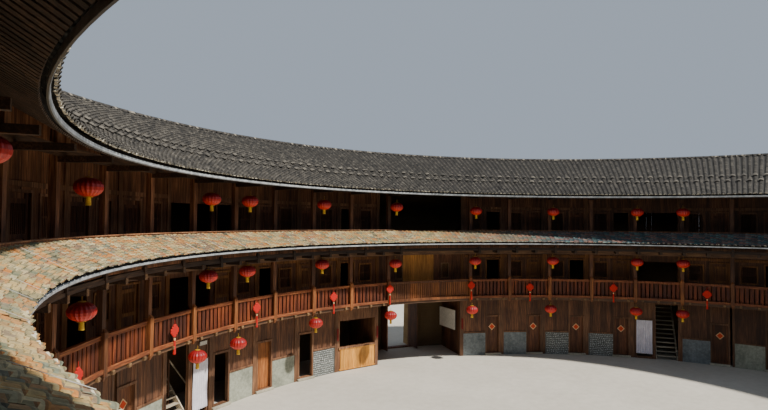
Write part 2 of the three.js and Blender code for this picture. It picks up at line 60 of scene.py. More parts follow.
# %% Radii, heights and bays
LEFT, RIGHT = 1, -1
SIDES = {LEFT: "left", RIGHT: "right"}
ROOM_BAYS = 21
HALL_HALF = 8.4
BAY = (180 - 2 * HALL_HALF) / ROOM_BAYS
STAIR_BAY = 4

GALLERY_R = 14.5
ROOM_R = 15.443
EARTH_TOP_R = 18.75
RIDGE_R = 16.48
EAVE_IN_R = 13.13
EAVE_OUT_R = 19.9
EAVE_IN_Z = 7.80
RIDGE_Z = 9.715
SLOPE = (RIDGE_Z - EAVE_IN_Z) / (RIDGE_R - EAVE_IN_R)
PENT_EAVE_R = 13.21
PENT_TOP_R = 13.967
PENT_EAVE_Z = 5.59
PENT_TOP_Z = 6.035
PENT_SLOPE = (PENT_TOP_Z - PENT_EAVE_Z) / (PENT_TOP_R - PENT_EAVE_R)
PARAPET_R = 14.0
PARAPET_TOP = 6.105
FLOOR_2 = 3.0
FLOOR_3 = 5.2
FLOOR_DEPTH = 0.189
GROUND_TOP = FLOOR_2 - FLOOR_DEPTH
RAIL_TOP = 3.776
RAIL_HEIGHT = 0.076


def azimuth(side, angle):
    return math.radians(270 + side * angle)


def post_angle(k):
    return HALL_HALF + BAY * k


def on_ring(side, angle, radius, height):
    turn = azimuth(side, angle)
    return Vector((radius * math.cos(turn), radius * math.sin(turn), height))


# %% [markdown]
# Most of the house repeats from bay to bay. So a piece is modelled once, flat, in a small frame of
# its own: x runs along the wall away from the gate, y goes outwards through the wall, and z is up.
# Two matrices carry it to its place: one for a bay, and one for a single angle of the ring. On
# the left side the bay's frame is a mirror image, so there the faces are turned over.


# %% Frames of a bay and of an angle
def bay_length(radius=ROOM_R):
    return 2 * radius * math.sin(math.radians(BAY / 2))


def frame_at(along, out, origin):
    place = Matrix((along, out, Vector((0, 0, 1)))).transposed().to_4x4()
    place.translation = origin
    return place


def chord_place(side, first, last, radius=ROOM_R):
    """x along the straight line between two angles of the ring."""
    start, end = on_ring(side, first, radius, 0), on_ring(side, last, radius, 0)
    return frame_at((end - start).normalized(), (start + end).normalized(), start)


def bay_place(side, k, radius=ROOM_R):
    return chord_place(side, post_angle(k), post_angle(k + 1), radius)


def ring_place(side, angle, radius=0.0):
    """x along the ring away from the gate, y outwards from that radius."""
    out = on_ring(side, angle, 1, 0)
    return frame_at(on_ring(side, angle + 90, 1, 0), out, out * radius)


EVERY_BAY = [(side, k) for side in SIDES for k in range(ROOM_BAYS)]
LENGTH = bay_length()


def bays(spots=EVERY_BAY, radius=ROOM_R):
    return [bay_place(side, k, radius) for side, k in spots]


def angles(spots, radius=0.0):
    return [ring_place(side, angle, radius) for side, angle in spots]


# %% [markdown]
# ## Tools for shapes
#
# Each piece starts from an operator: a cube for a board, a cone with equal ends for a log or a pin.
# `repeat` copies one modelled unit to many places and keeps every face pointing outwards.


# %% Boards, logs and copies
RING_STEPS = 264


def board(unit, low, high):
    """A board between two corners."""
    low, high = Vector(low), Vector(high)
    size = high - low
    matrix = Matrix.Translation((low + high) / 2) @ Matrix.Diagonal((*size, 1))
    return bmesh.ops.create_cube(unit, size=1, matrix=matrix)["verts"]


def log(unit, start, end, radius, sides=8, end_radius=None):
    """A round bar between two points."""
    start, end = Vector(start), Vector(end)
    run = end - start
    turn = run.to_track_quat("Z", "Y").to_matrix().to_4x4()
    matrix = Matrix.Translation((start + end) / 2) @ turn
    last = radius if end_radius is None else end_radius
    made = bmesh.ops.create_cone(
        unit, cap_ends=True, segments=sides, radius1=radius, radius2=last,
        depth=run.length, matrix=matrix)
    return made["verts"]


def soften(unit, width, segments=1):
    bmesh.ops.bevel(
        unit, geom=unit.edges[:], offset=width, segments=segments, profile=0.5,
        affect="EDGES", material=-1)


def built(*boxes, edge=0.0, segments=1):
    """A unit of boards, each between two corners, with softened edges."""
    unit = bmesh.new()
    for low, high in boxes:
        board(unit, low, high)
    if edge:
        soften(unit, edge, segments)
    return unit


def slat_row(unit, start, end, count, half, near, far):
    """Upright slats at even steps along x. near and far are the (y, z) of their corners."""
    for i in range(count):
        x = start + (end - start) * (i + 0.5) / count
        board(unit, (x - half, *near), (x + half, *far))


def planks(unit, low, high, count=3, gap=0.002):
    """Planks side by side along x, between two corners."""
    width = (high[0] - low[0]) / count
    for i in range(count):
        start = low[0] + width * i
        board(unit, (start + gap, *low[1:]), (start + width - gap, *high[1:]))


def everything(unit):
    return unit.verts[:] + unit.edges[:] + unit.faces[:]


def verts_of(made):
    return [part for part in made["geom"] if isinstance(part, bmesh.types.BMVert)]


def spin(unit, parts, angle, steps, centre=(0, 0, 0), axis=(0, 0, 1), merge=False, copies=False):
    """Sweeps parts of a unit about an axis, or copies them."""
    bmesh.ops.spin(
        unit, geom=parts, cent=centre, axis=axis, dvec=(0, 0, 0), angle=angle, steps=steps,
        use_merge=merge, use_duplicate=copies)


def deepen(unit, depth):
    """Gives a flat unit a depth along y."""
    made = bmesh.ops.extrude_face_region(unit, geom=unit.faces[:])
    bmesh.ops.translate(unit, vec=(0, depth, 0), verts=verts_of(made))
    bmesh.ops.recalc_face_normals(unit, faces=unit.faces)


def swept_ring(section, closed=False):
    """A section of points, each a radius and a height, spun once round the ring."""
    shape = bmesh.new()
    verts = [shape.verts.new((r, 0, z)) for r, z in section]
    for a, b in zip(verts, verts[1:] + (verts[:1] if closed else [])):
        shape.edges.new((a, b))
    spin(shape, shape.verts[:] + shape.edges[:], 2 * math.pi, RING_STEPS, merge=True)
    bmesh.ops.remove_doubles(shape, verts=shape.verts, dist=0.0005)
    bmesh.ops.recalc_face_normals(shape, faces=shape.faces)
    return shape


def repeat(unit, places):
    """One mesh with a copy of the unit at each place."""
    template = bpy.data.meshes.new("unit")
    unit.to_mesh(template)
    unit.free()
    whole = bmesh.new()
    for place in places:
        verts, faces = len(whole.verts), len(whole.faces)
        whole.from_mesh(template)
        whole.verts.ensure_lookup_table()
        whole.faces.ensure_lookup_table()
        bmesh.ops.transform(whole, matrix=place, verts=whole.verts[verts:])
        if place.determinant() < 0:
            bmesh.ops.reverse_faces(whole, faces=whole.faces[faces:])
    bpy.data.meshes.remove(template)
    return whole


def add_piece(shape, name, material, smooth=False, body="building"):
    """Makes the finished object, which rides on its body."""
    mesh = bpy.data.meshes.new(name)
    shape.to_mesh(mesh)
    shape.free()
    mesh.materials.append(material)
    if smooth:
        mesh.shade_smooth()
    piece = bpy.data.objects.new(name, mesh)
    bpy.context.scene.collection.objects.link(piece)
    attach(piece, body)
    print(name, len(mesh.polygons), "faces")
    return piece


def lay(unit, name, material, places, body="building"):
    return add_piece(repeat(unit, places), name, material, body=body)


# %% [markdown]
# ## Tools for finishes
#
# A finish is a chain of nodes. The class keeps the chain short to write: each method adds one node
# and gives back its output. The ring's own coordinates (along it, outwards, up) come from the
# object's coordinates with an arctangent, so grain and boards follow the curve of the house. The
# value `sunny` runs from 1, on the part of the ring that the sun reaches all day, to -1 opposite.
# The timber uses it for painted light and shade.


# %% A finish and its nodes
def tint(code):
    """The linear colour of a hexadecimal one."""
    parts = [int(code[i:i + 2], 16) / 255 for i in (0, 2, 4)]
    return tuple(p / 12.92 if p < 0.04045 else ((p + 0.055) / 1.055) ** 2.4 for p in parts) + (1.0,)


class Finish:
    def __init__(self, name):
        self.material = bpy.data.materials.new(name)
        self.material.use_nodes = True
        self.tree = self.material.node_tree
        self.shader = self.tree.nodes["Principled BSDF"]
        self.place = self.add("ShaderNodeTexCoord").outputs["Object"]
        split = self.add("ShaderNodeSeparateXYZ")
        self.feed(split.inputs[0], self.place)
        x, y, self.up = split.outputs
        self.turn = self.math("ARCTAN2", y, x)
        squares = self.plus(self.times(x, x), self.times(y, y))
        self.out = self.math("SQRT", squares)
        self.along = self.times(self.turn, ROOM_R)
        self.x = x
        toward = self.less(self.times(x, 0.64), self.times(y, 0.77))
        self.sunny = self.over(toward, self.out)

    def add(self, kind, **settings):
        node = self.tree.nodes.new(kind)
        for key, value in settings.items():
            setattr(node, key, value)
        return node

    def feed(self, socket, value):
        if isinstance(value, bpy.types.NodeSocket):
            self.tree.links.new(value, socket)
        else:
            socket.default_value = value

    def math(self, operation, a, b=0.0):
        node = self.add("ShaderNodeMath", operation=operation)
        self.feed(node.inputs[0], a)
        self.feed(node.inputs[1], b)
        return node.outputs[0]

    def plus(self, a, b):
        return self.math("ADD", a, b)

    def less(self, a, b):
        return self.math("SUBTRACT", a, b)

    def times(self, a, b):
        return self.math("MULTIPLY", a, b)

    def over(self, a, b):
        return self.math("DIVIDE", a, b)

    def between(self, value, low, high):
        """0 up to the low value, 1 from the high one on, and even between them."""
        share = self.over(self.less(value, low), high - low)
        return self.math("MINIMUM", self.math("MAXIMUM", share, 0.0), 1.0)

    def look(self):
        """The upward part of a face's normal."""
        way = self.add("ShaderNodeSeparateXYZ")
        self.feed(way.inputs[0], self.add("ShaderNodeNewGeometry").outputs["Normal"])
        return way.outputs[2]

    def facing(self, low, high):
        """How far a face looks up, from 0 at the low value of its normal to 1 at the high one."""
        return self.between(self.look(), low, high)

    def vector(self, x, y, z):
        node = self.add("ShaderNodeCombineXYZ")
        for socket, value in zip(node.inputs, (x, y, z)):
            self.feed(socket, value)
        return node.outputs[0]

    def stretch(self, x, y, z):
        """The ring's coordinates, each one times its own scale."""
        return self.vector(
            self.times(self.along, x),
            self.times(self.out, y),
            self.times(self.up, z))

    def noise(self, scale, detail=4.0, rough=0.6, vector=None):
        node = self.add("ShaderNodeTexNoise")
        self.feed(node.inputs["Vector"], self.place if vector is None else vector)
        node.inputs["Scale"].default_value = scale
        node.inputs["Detail"].default_value = detail
        node.inputs["Roughness"].default_value = rough
        return node.outputs["Fac"]

    def cell(self, x, y=0.0):
        """A random number for each whole x and y."""
        node = self.add("ShaderNodeTexWhiteNoise", noise_dimensions="3D")
        whole = self.vector(self.math("FLOOR", x), self.math("FLOOR", y), 0.0)
        self.feed(node.inputs["Vector"], whole)
        return node.outputs["Value"]

    def ramp(self, value, stops, interpolation="LINEAR"):
        node = self.add("ShaderNodeValToRGB")
        self.feed(node.inputs[0], value)
        band = node.color_ramp
        band.interpolation = interpolation
        while len(band.elements) < len(stops):
            band.elements.new(1.0)
        for element, (place, colour) in zip(band.elements, stops):
            element.position = place
            element.color = colour
        return node.outputs["Color"]

    def mix(self, share, a, b, blend="MIX"):
        node = self.add("ShaderNodeMix", data_type="RGBA", blend_type=blend)
        self.feed(node.inputs[0], share)
        self.feed(node.inputs[6], a)
        self.feed(node.inputs[7], b)
        return node.outputs[2]

    def speckle(self, share, colour, value, low, high):
        """Darkens and lightens a colour by a value. low and high are stops of a ramp."""
        return self.mix(share, colour, self.ramp(value, [low, high]), "MULTIPLY")

    def grey(self, value):
        return self.vector(value, value, value)

    def finish(self, colour, rough, height=None, depth=0.01, metal=0.0):
        self.feed(self.shader.inputs["Base Color"], colour)
        self.feed(self.shader.inputs["Roughness"], rough)
        self.shader.inputs["Metallic"].default_value = metal
        if height is not None:
            bump = self.add("ShaderNodeBump")
            bump.inputs["Strength"].default_value = 0.8
            bump.inputs["Distance"].default_value = depth
            self.feed(bump.inputs["Height"], height)
            self.feed(self.shader.inputs["Normal"], bump.outputs[0])
        return self.material


# %% [markdown]
# Old fir and cedar boards keep their grain. The grain is a noise drawn out along the board. Each
# board also gets its own tone, from a random number that changes at every board's edge, and worn
# patches come from a slow noise. On top of that, the boards are painted lighter on the sunlit part
# of the ring and darker on the shaded part, a painted light and shade, and on the near left the
# upper storeys get more painted light, as if thrown up from the sunlit pent roof.


# %% Timber
def timber(name, dark, mid, light, grain="up", width=0.16, contrast=0.75, rough=0.72, painted_sun=0.4,
           painted_bounce=0.0, near=(7.0, 12.0), above=5.0):
    """Boards along one direction of the ring.

    One value lightens the boards on the sunlit part of the ring and darkens them on the shaded
    part, a painted light and shade. Another lightens what is above a height on the left side, more
    and more between two values of x, which is painted light too.
    """
    f = Finish(name)
    scales = {"up": (26, 26, 1.5), "round": (1.5, 26, 26), "out": (26, 1.5, 26)}[grain]
    fibre = f.noise(1.0, 7.0, 0.62, f.stretch(*scales))
    wear = f.noise(0.9, 3.0, 0.5)
    across = {"up": f.along, "round": f.up, "out": f.along}[grain]
    tone = f.cell(f.over(across, width), f.times(f.out, 3.1))
    colour = f.ramp(fibre, [(0.28, tint(dark)), (0.5, tint(mid)), (0.72, tint(light))])
    strength = f.plus(f.times(tone, contrast), 1.0 - contrast / 2)
    # painted light and shade: lighter on the sunlit part of the ring, darker on the shaded part, and
    # painted light on the near left above a height
    sun_and_shade = f.plus(f.times(f.sunny, painted_sun), 1.0)
    if painted_bounce:
        left = f.between(f.x, *near)
        high = f.times(f.math("GREATER_THAN", f.up, above), painted_bounce)
        sun_and_shade = f.plus(sun_and_shade, f.times(left, high))
    colour = f.mix(1.0, colour, f.grey(f.times(strength, sun_and_shade)), "MULTIPLY")
    colour = f.speckle(0.7, colour, wear, (0.35, (0.5, 0.47, 0.45, 1)), (0.6, (1, 1, 1, 1)))
    dull = f.plus(f.times(fibre, 0.3), rough - 0.15)
    return f.finish(colour, dull, fibre, 0.006)


WALL_WOOD = timber("wall_wood", "29170e", "553521", "7b5539", painted_sun=0.5, painted_bounce=1.3)
FRAME_WOOD = timber("frame_wood", "382116", "63432c", "886447", width=0.5, painted_sun=0.5, painted_bounce=1.3)
POST_WOOD = timber("post_wood", "2a170d", "50301b", "7a5134", width=2.1, painted_bounce=1.0,
                   near=(13.0, 14.4), above=2.9)
RAIL_WOOD = timber("rail_wood", "451c0b", "743c1c", "a3683c", grain="round", width=0.3)
SLAT_WOOD = timber("slat_wood", "300f06", "5c260a", "88491c", width=0.1933, contrast=0.95, painted_sun=0.3)
NEWEL_WOOD = timber("newel_wood", "4a240f", "77431d", "a06a38", width=0.4, painted_sun=0.2)
# painted shade: the beams under the eaves are near black, with painted light on the near left
BEAM_WOOD = timber("beam_wood", "150d08", "2a1b11", "453121", grain="round", width=0.4, painted_sun=0.1,
                   painted_bounce=1.8, near=(10.0, 12.5))
RAFTER_WOOD = timber("rafter_wood", "17100b", "2c2018", "463527", grain="out", width=0.18,
                     painted_bounce=1.2)
FLOOR_WOOD = timber("floor_wood", "382618", "644630", "8c6a48", grain="round", width=0.2)
DOOR_WOOD = timber("door_wood", "331c11", "5f3923", "865a38", width=0.15)
SUNLIT_DOOR = timber("sunlit_door", "5a2c12", "8f5426", "b97a40", width=0.17)
NEW_WOOD = timber("new_wood", "9a6226", "c98a35", "e0a858", width=0.14, contrast=0.4, rough=0.55)
PLAIN_WOOD = timber("plain_wood", "7a5128", "b07a38", "cf9850", width=0.17, contrast=0.5)
LATTICE_WOOD = timber("lattice_wood", "46280f", "704720", "966937", width=0.31, contrast=0.5)
END_WOOD = timber("end_wood", "4a3422", "745738", "9a7b52", grain="out", width=0.3, contrast=0.4,
                  painted_sun=0.3)
# painted shade: the arm ends are near black, with painted light on those of the near left
ARM_WOOD = timber("arm_wood", "1d130b", "3a2818", "57402a", grain="out", width=0.3, contrast=0.3,
                  painted_sun=0.1, painted_bounce=4.5, near=(10.2, 12.2))
STEP_WOOD = timber("step_wood", "6a6254", "9c917d", "c8bca4", grain="round", width=0.19)

# %% [markdown]
# Clay tiles fire unevenly, and rain, moss and sun then age each one in its own way. On the pent
# roof one column differs strongly from the next, while on the high roof the tiles have all gone
# to a dark grey. Both finishes give each tile a colour from two random numbers: one for its column
# and one for its course.


# %% Clay tiles
def shades(*codes):
    """The stops of a ramp with evenly spaced colours."""
    return [(0.12 + 0.76 * i / (len(codes) - 1), tint(code)) for i, code in enumerate(codes)]


GOLDEN = 0.618034


def clay(name, columns, course, start, warm, shaded_palette, column_share, grime_and_shade, half=0.0, nose=0.0,
         spread=1.0, line=0.6, slide=0.0, rough=0.85):
    """Tiles in columns round the ring and in courses up from the radius at the start.

    Half a column of offset makes the finish of the pans, and the nose is the curve of a tile's end.
    Each column has slid a little, by a share of the slide that follows from its number. Towards
    the shaded side of the courtyard the colours go from the warm ones to a palette of painted shade.
    A slow noise darkens the tiles with dirt, and the pans more, a painted shade between the covers.
    The top of each course is darkened too, a painted shadow under the step of the next tile.
    """
    f = Finish(name)
    column = f.plus(f.times(f.turn, columns / (2 * math.pi)), half)
    across = f.times(f.less(f.math("FRACT", column), 0.5), 2 * spread)
    bulge = f.times(f.less(1.0, f.times(across, across)), nose)
    climb = f.plus(f.less(f.out, start), bulge)
    if slide:
        share = f.math("FRACT", f.times(f.math("FLOOR", column), GOLDEN))
        climb = f.less(climb, f.times(f.less(share, 0.5), slide))
    row = f.over(climb, course)
    value = f.plus(f.times(f.cell(column), column_share),
                   f.times(f.cell(column, row), 1 - column_share))
    colour = f.ramp(value, warm)
    if shaded_palette:
        # painted shade: towards the right side of the courtyard the colours turn to the palette of
        # shaded tiles
        shade = f.plus(f.times(f.x, -0.16), 0.1)
        colour = f.mix(shade, colour, f.ramp(f.math("FRACT", f.times(value, 7.3)), shaded_palette))
    spots = f.noise(38.0, 5.0, 0.7)
    colour = f.speckle(
        0.55, colour, spots, (0.35, (0.5, 0.5, 0.48, 1)), (0.65, (1.25, 1.22, 1.15, 1)))
    # dirt from a slow noise, laid on more thickly on the pans, a painted shade between the covers
    stain_and_shade_noise = f.noise(0.8, 4.0, 0.6)
    colour = f.mix(f.times(stain_and_shade_noise, grime_and_shade), colour, tint("3b3a36"))
    # painted shadow: the top of each course is darkened where the step of the next tile shades it
    joint = f.math("GREATER_THAN", f.math("FRACT", row), 0.87)
    colour = f.mix(f.times(joint, line), colour, tint("15130f"))
    return f.finish(colour, rough, spots, 0.004)


HIGH_ROOF_START = 12.98
HIGH_COURSE = 0.112
PENT_ROOF_START = 13.145
PENT_COURSE = 0.088
PENT_COLUMNS = 400
PENT_SLIDE = 0.035
PENT_WARM = shades("5c5b48", "aa9c72", "757a62", "c9b283", "948a66", "c4813f", "bda872", "b07a50",
                   "777f6d", "cfc094", "87705a")
# colours of the pent tiles in shade, a painted shade
PENT_PAINTED_SHADE = shades("3c5358", "74504a", "4b6e6f", "8c5e54", "33434a", "608686", "9a6c5e", "40545f")
HIGH_GREY = shades("2a2826", "4a4641", "3a3733", "5c5750", "45413c", "6b665e", "33302d")
HIGH_TILE = clay("high_tile", 440, HIGH_COURSE * 0.8725, HIGH_ROOF_START, HIGH_GREY, None, 0.2, 0.25)
# the pans of the high roof are near black, a painted shade between the covers
HIGH_PAN = clay("high_pan", 440, HIGH_COURSE * 0.8725, HIGH_ROOF_START,
                shades("131110", "25211e", "1a1816", "2e2a26"), None, 0.3, 0.4, half=0.5)
PENT_TILE = clay("pent_tile", PENT_COLUMNS, PENT_COURSE * 0.88, PENT_ROOF_START, PENT_WARM, PENT_PAINTED_SHADE,
                 0.5, 0.12, nose=0.02, spread=1.4, line=0.4, slide=PENT_SLIDE)
PENT_PAN = clay("pent_pan", PENT_COLUMNS, PENT_COURSE * 0.88, PENT_ROOF_START, PENT_WARM, PENT_PAINTED_SHADE,
                0.5, 0.3, half=0.5, line=0.4, slide=PENT_SLIDE)
TILE_END = clay("tile_end", 1900, 0.5, 0.0, shades("6a6458", "b5ac98", "ddd4be", "f2ead6", "8a8374"),
                None, 1.0, 0.1, line=0.0)
RIDGE_TILE = clay("ridge_tile", 1240, 0.3, 0.0,
                  shades("2a2724", "35322e", "45413c", "2e2b28", "3a3632", "4b4640", "8f897d"), None,
                  0.9, 0.1, line=0.0)

# %% [markdown]
# Rammed earth shows the lifts in which it was pounded, about 0.4 m each, with small pebbles and
# straw in it; its face towards the courtyard is darkened, a painted shade. The plaster and brick of
# the half walls are plain noises in their own colours, and each cobble has a shade of its own.
# Sheet metal has a painted shade on its underside, silk is painted darker above and lighter below,
# a painted light, and paper needs little more than a colour and the right gloss.


# %% Earth, stone, metal, cloth and paper
def rammed_earth():
    f = Finish("rammed_earth")
    grains = f.noise(30.0, 6.0, 0.7)
    patches = f.noise(0.5, 5.0, 0.6)
    wave = f.plus(f.times(f.up, 2.5), f.times(patches, 0.35))
    lift = f.math("ABSOLUTE", f.less(f.math("FRACT", wave), 0.5))
    seam = f.math("GREATER_THAN", lift, 0.47)
    colour = f.ramp(patches, [(0.3, tint("8f7248")), (0.5, tint("b08f5f")), (0.7, tint("c9ab7c"))])
    # painted shade: the face towards the courtyard is darkened
    painted_inner_shade = f.math("LESS_THAN", f.out, 18.2)
    colour = f.mix(f.times(painted_inner_shade, 0.8), colour, tint("3a3026"))
    colour = f.speckle(
        0.5, colour, grains, (0.3, (0.6, 0.58, 0.55, 1)), (0.7, (1.15, 1.12, 1.1, 1)))
    colour = f.mix(f.times(seam, 0.35), colour, tint("6b5334"))
    height = f.less(grains, f.times(seam, 0.6))
    return f.finish(colour, 0.95, height, 0.02)


def mineral(name, dark, light, scale, depth=0.008, rough=0.9):
    f = Finish(name)
    grains = f.noise(scale, 6.0, 0.68)
    patches = f.noise(scale / 9, 3.0, 0.5)
    mixed = f.plus(f.times(grains, 0.55), f.times(patches, 0.45))
    colour = f.ramp(mixed, [(0.36, tint(dark)), (0.64, tint(light))])
    return f.finish(colour, rough, grains, depth)


def stones(name, palette, scale):
    """A finish that gives each small stone a colour of its own."""
    f = Finish(name)
    cells = f.add("ShaderNodeTexVoronoi")
    f.feed(cells.inputs["Vector"], f.place)
    cells.inputs["Scale"].default_value = scale
    split = f.add("ShaderNodeSeparateColor")
    f.feed(split.inputs[0], cells.outputs["Color"])
    stops = [(i / (len(palette) - 1), tint(code)) for i, code in enumerate(palette)]
    colour = f.ramp(split.outputs[0], stops)
    grains = f.noise(60.0, 4.0, 0.6)
    colour = f.speckle(0.4, colour, grains, (0.3, (0.6, 0.6, 0.6, 1)), (0.7, (1.2, 1.2, 1.2, 1)))
    return f.finish(colour, 0.85, grains, 0.004)


def gutter_metal():
    """Pale sheet where it faces the courtyard, with a painted shade on its underside."""
    f = Finish("gutter_metal")
    dirt = f.noise(5.0, 6.0, 0.6)
    pale = f.ramp(dirt, [(0.36, tint("9da3a8")), (0.64, tint("d3d7da"))])
    # painted shade: faces that look down are dark
    colour = f.mix(f.facing(-0.6, -0.3), tint("2b2c2d"), pale)
    return f.finish(colour, 0.45, dirt, 0.001)


def lacquer(name, code, rough, shine=0.0, blot=0.5):
    f = Finish(name)
    blotch = f.noise(14.0, 3.0, 0.5)
    colour = f.mix(f.times(blotch, blot), tint(code), (0.05, 0.01, 0.01, 1))
    material = f.finish(colour, f.plus(f.times(blotch, 0.15), rough), blotch, 0.002)
    f.shader.inputs["Coat Weight"].default_value = shine
    return material


def lantern_silk_red():
    """Silk that is crimson above and glows orange below, where the courtyard lights it."""
    f = Finish("lantern_silk")
    weave = f.noise(30.0, 3.0, 0.5)
    colour = f.mix(f.facing(-0.7, 0.5), tint("d42a12"), tint("8c0a10"))
    colour = f.speckle(0.35, colour, weave, (0.3, (0.6, 0.5, 0.5, 1)), (0.7, (1.2, 1.1, 1.1, 1)))
    material = f.finish(colour, 0.5, weave, 0.002)
    f.shader.inputs["Coat Weight"].default_value = 0.15
    return material


EARTH = rammed_earth()
PLASTER = mineral("plaster", "7c8072", "b0b3a2", 9.0)
MORTAR = mineral("mortar", "4a4c49", "6e706b", 20.0)
BRICK = mineral("grey_brick", "565d60", "8f9799", 7.0)
COBBLE = stones("cobble", ["7b8384", "a9afaf", "d3d6d2", "8b9699", "bdbfb8"], 20.0)
SILL_STONE = mineral("sill_stone", "8b8676", "c0baa6", 14.0)
GUTTER_METAL = gutter_metal()
STRAP_METAL = mineral("strap_metal", "b9b9b6", "e2e2de", 5.0, 0.001, 0.5)
LANTERN_SILK = lantern_silk_red()
LANTERN_GOLD = mineral("lantern_gold", "8f6410", "d9a92e", 30.0, 0.002, 0.4)
TASSEL_THREAD = mineral("tassel_thread", "b98a10", "f0c53a", 60.0, 0.003, 0.7)
KNOT_CORD = lacquer("knot_cord", "c41402", 0.7, blot=0.1)
PAPER = lacquer("paper", "de4a22", 0.8, blot=0.2)
PAPER_EDGE = mineral("paper_edge", "cf9c66", "ecc89a", 30.0, 0.001, 0.8)
RED_PAPER = lacquer("red_paper", "7c1a12", 0.8, blot=0.4)
CURTAIN_CLOTH = mineral("curtain_cloth", "cfcad6", "f0edf5", 40.0, 0.002, 0.9)
PLATE_WHITE = mineral("plate_white", "b5b4ac", "dedcd2", 10.0, 0.001, 0.6)

# %% [markdown]
# ## The imported pieces
#
# The walls, posts, floors and doors keep the shapes they came with. Each gets the finish of what it
# is. The slabs of the roofs are near black from above, a painted shade in the gaps between the
# tiles, and show timber from below, so their finish asks which way the face looks.


# %% Finishes of the imported pieces
def roof_slab(name, top, under):
    """One finish above and another below, by the direction of the face."""
    f = Finish(name)
    looks_up = f.math("GREATER_THAN", f.look(), 0.1)
    spots = f.noise(20.0, 5.0, 0.6)
    upper = f.ramp(spots, [(0.3, tint(top[0])), (0.7, tint(top[1]))])
    fibre = f.noise(1.0, 6.0, 0.6, f.stretch(26, 1.5, 26))
    lower = f.ramp(fibre, [(0.3, tint(under[0])), (0.7, tint(under[1]))])
    return f.finish(f.mix(looks_up, lower, upper), 0.9, spots, 0.01)


# painted shade: the tops of the slabs are near black, as the gaps between the tiles lie in shade
SLAB = roof_slab("roof_slab", ("100f0d", "211e1b"), ("120d0a", "2a1f17"))
PENT_SLAB = roof_slab("pent_slab", ("1c1b18", "33312c"), ("120d0a", "2a1f17"))

FINISH_BY_START = [
    ("earth_wall", EARTH),
    ("gate", DOOR_WOOD),
    ("main_roof", SLAB),
    ("pent_roof", PENT_SLAB),
    ("floor", FLOOR_WOOD),
    ("gallery_front_2", POST_WOOD),
    ("gallery_front_3", WALL_WOOD),
    ("room_wall_2_gate_hall", PLAIN_WOOD),
    ("room_wall", WALL_WOOD),
    ("front_wall", FRAME_WOOD),
    ("passage_wall", WALL_WOOD),
    ("door", DOOR_WOOD),
    ("stair", STEP_WOOD),
    ("eave_gutter", GUTTER_METAL),
    ("pent_gutter", GUTTER_METAL),
    ("pent_eave_frame", BEAM_WOOD),
    ("main_eave_frame", BEAM_WOOD),
]
for name, node in NODES.items():
    finish = next(material for start, material in FINISH_BY_START if name.startswith(start))
    node.data.materials.clear()
    node.data.materials.append(finish)
print("finished", len(NODES), "packed pieces")

# %% [markdown]
# ## Roof tiles
#
# A column of tiles starts as one vertex. Spun over a small arc it becomes the rounded end of a
# tile. The arc is then pushed up the slope one course at a time: it sinks a little along each
# tile, and steps up again onto the next. Turned hollow side up, the same column makes the pans
# between the covers. One column, copied round the ring, makes the roof.


# %% A column of tiles
def arch(width, rise, steps, hollow=False):
    """A row of edges bent to the arc of a tile's end."""
    unit = bmesh.new()
    radius = (width * width / 4 + rise * rise) / (2 * rise)
    way = -1 if hollow else 1
    first = unit.verts.new((-width / 2, 0, 0))
    spin(unit, [first], 2 * math.asin(width / 2 / radius), steps, (0, 0, way * (rise - radius)),
         (0, way, 0))
    return unit


def tile_column(width, rise, courses, exposure, lift, steps, nose=0.0, hollow=False):
    unit = arch(width, rise, steps, hollow)
    edges = unit.edges[:]
    for course in range(courses):
        for move in ((0, exposure, -lift), (0, 0, lift)):
            if course == courses - 1 and move[1] == 0:
                break
            made = bmesh.ops.extrude_edge_only(unit, edges=edges)
            verts = verts_of(made)
            fresh = set(verts)
            edges = [part for part in made["geom"]
                     if isinstance(part, bmesh.types.BMEdge) and set(part.verts) <= fresh]
            bmesh.ops.translate(unit, vec=move, verts=verts)
    for vert in unit.verts:
        vert.co.y -= nose * (1 - (2 * vert.co.x / width) ** 2)
    bmesh.ops.recalc_face_normals(unit, faces=unit.faces)
    if sum(face.normal.z for face in unit.faces) < 0:
        bmesh.ops.reverse_faces(unit, faces=unit.faces)
    return unit


def lay_columns(unit, slope, start_r, start_z, count, turns, half=0.5, outer=False):
    """Tilts a column to its slope and copies it between two angles of the ring."""
    way = Matrix.Rotation(math.pi, 4, "Z") if outer else Matrix.Identity(4)
    tilt = Matrix.Rotation(math.atan(slope), 4, "X")
    place = Matrix.Translation((0, start_r, start_z)) @ way @ tilt
    step = (turns[1] - turns[0]) / count
    turn = Matrix.Rotation(turns[0] + step * half - math.pi / 2, 4, "Z")
    bmesh.ops.transform(unit, matrix=turn @ place, verts=unit.verts)
    spin(unit, everything(unit), step * (count - 1), count - 1, copies=True)


def slope_length(run, slope):
    return math.hypot(run, run * slope)


def weather(shape, size, amount):
    """Small shifts that break up the ruler-straight rows."""
    for vert in shape.verts:
        vert.co += noise.noise_vector(vert.co * size) * amount


def all_round(unit, count):
    """Copies of the unit at equal steps round the whole ring."""
    spin(unit, everything(unit), 2 * math.pi * (count - 1) / count, count - 1, copies=True)
    return unit


HALF_TURNS = {side: sorted((azimuth(side, 0), azimuth(side, 180))) for side in SIDES}

# %% [markdown]
# The high roof has 440 columns on its courtyard slope, and the outer slope, which is longer, 520.
# The courtyard slope reaches past the slab, so that its tiles end over the gutter. Each quarter of
# the roof is one piece, to keep the meshes of a sensible size.

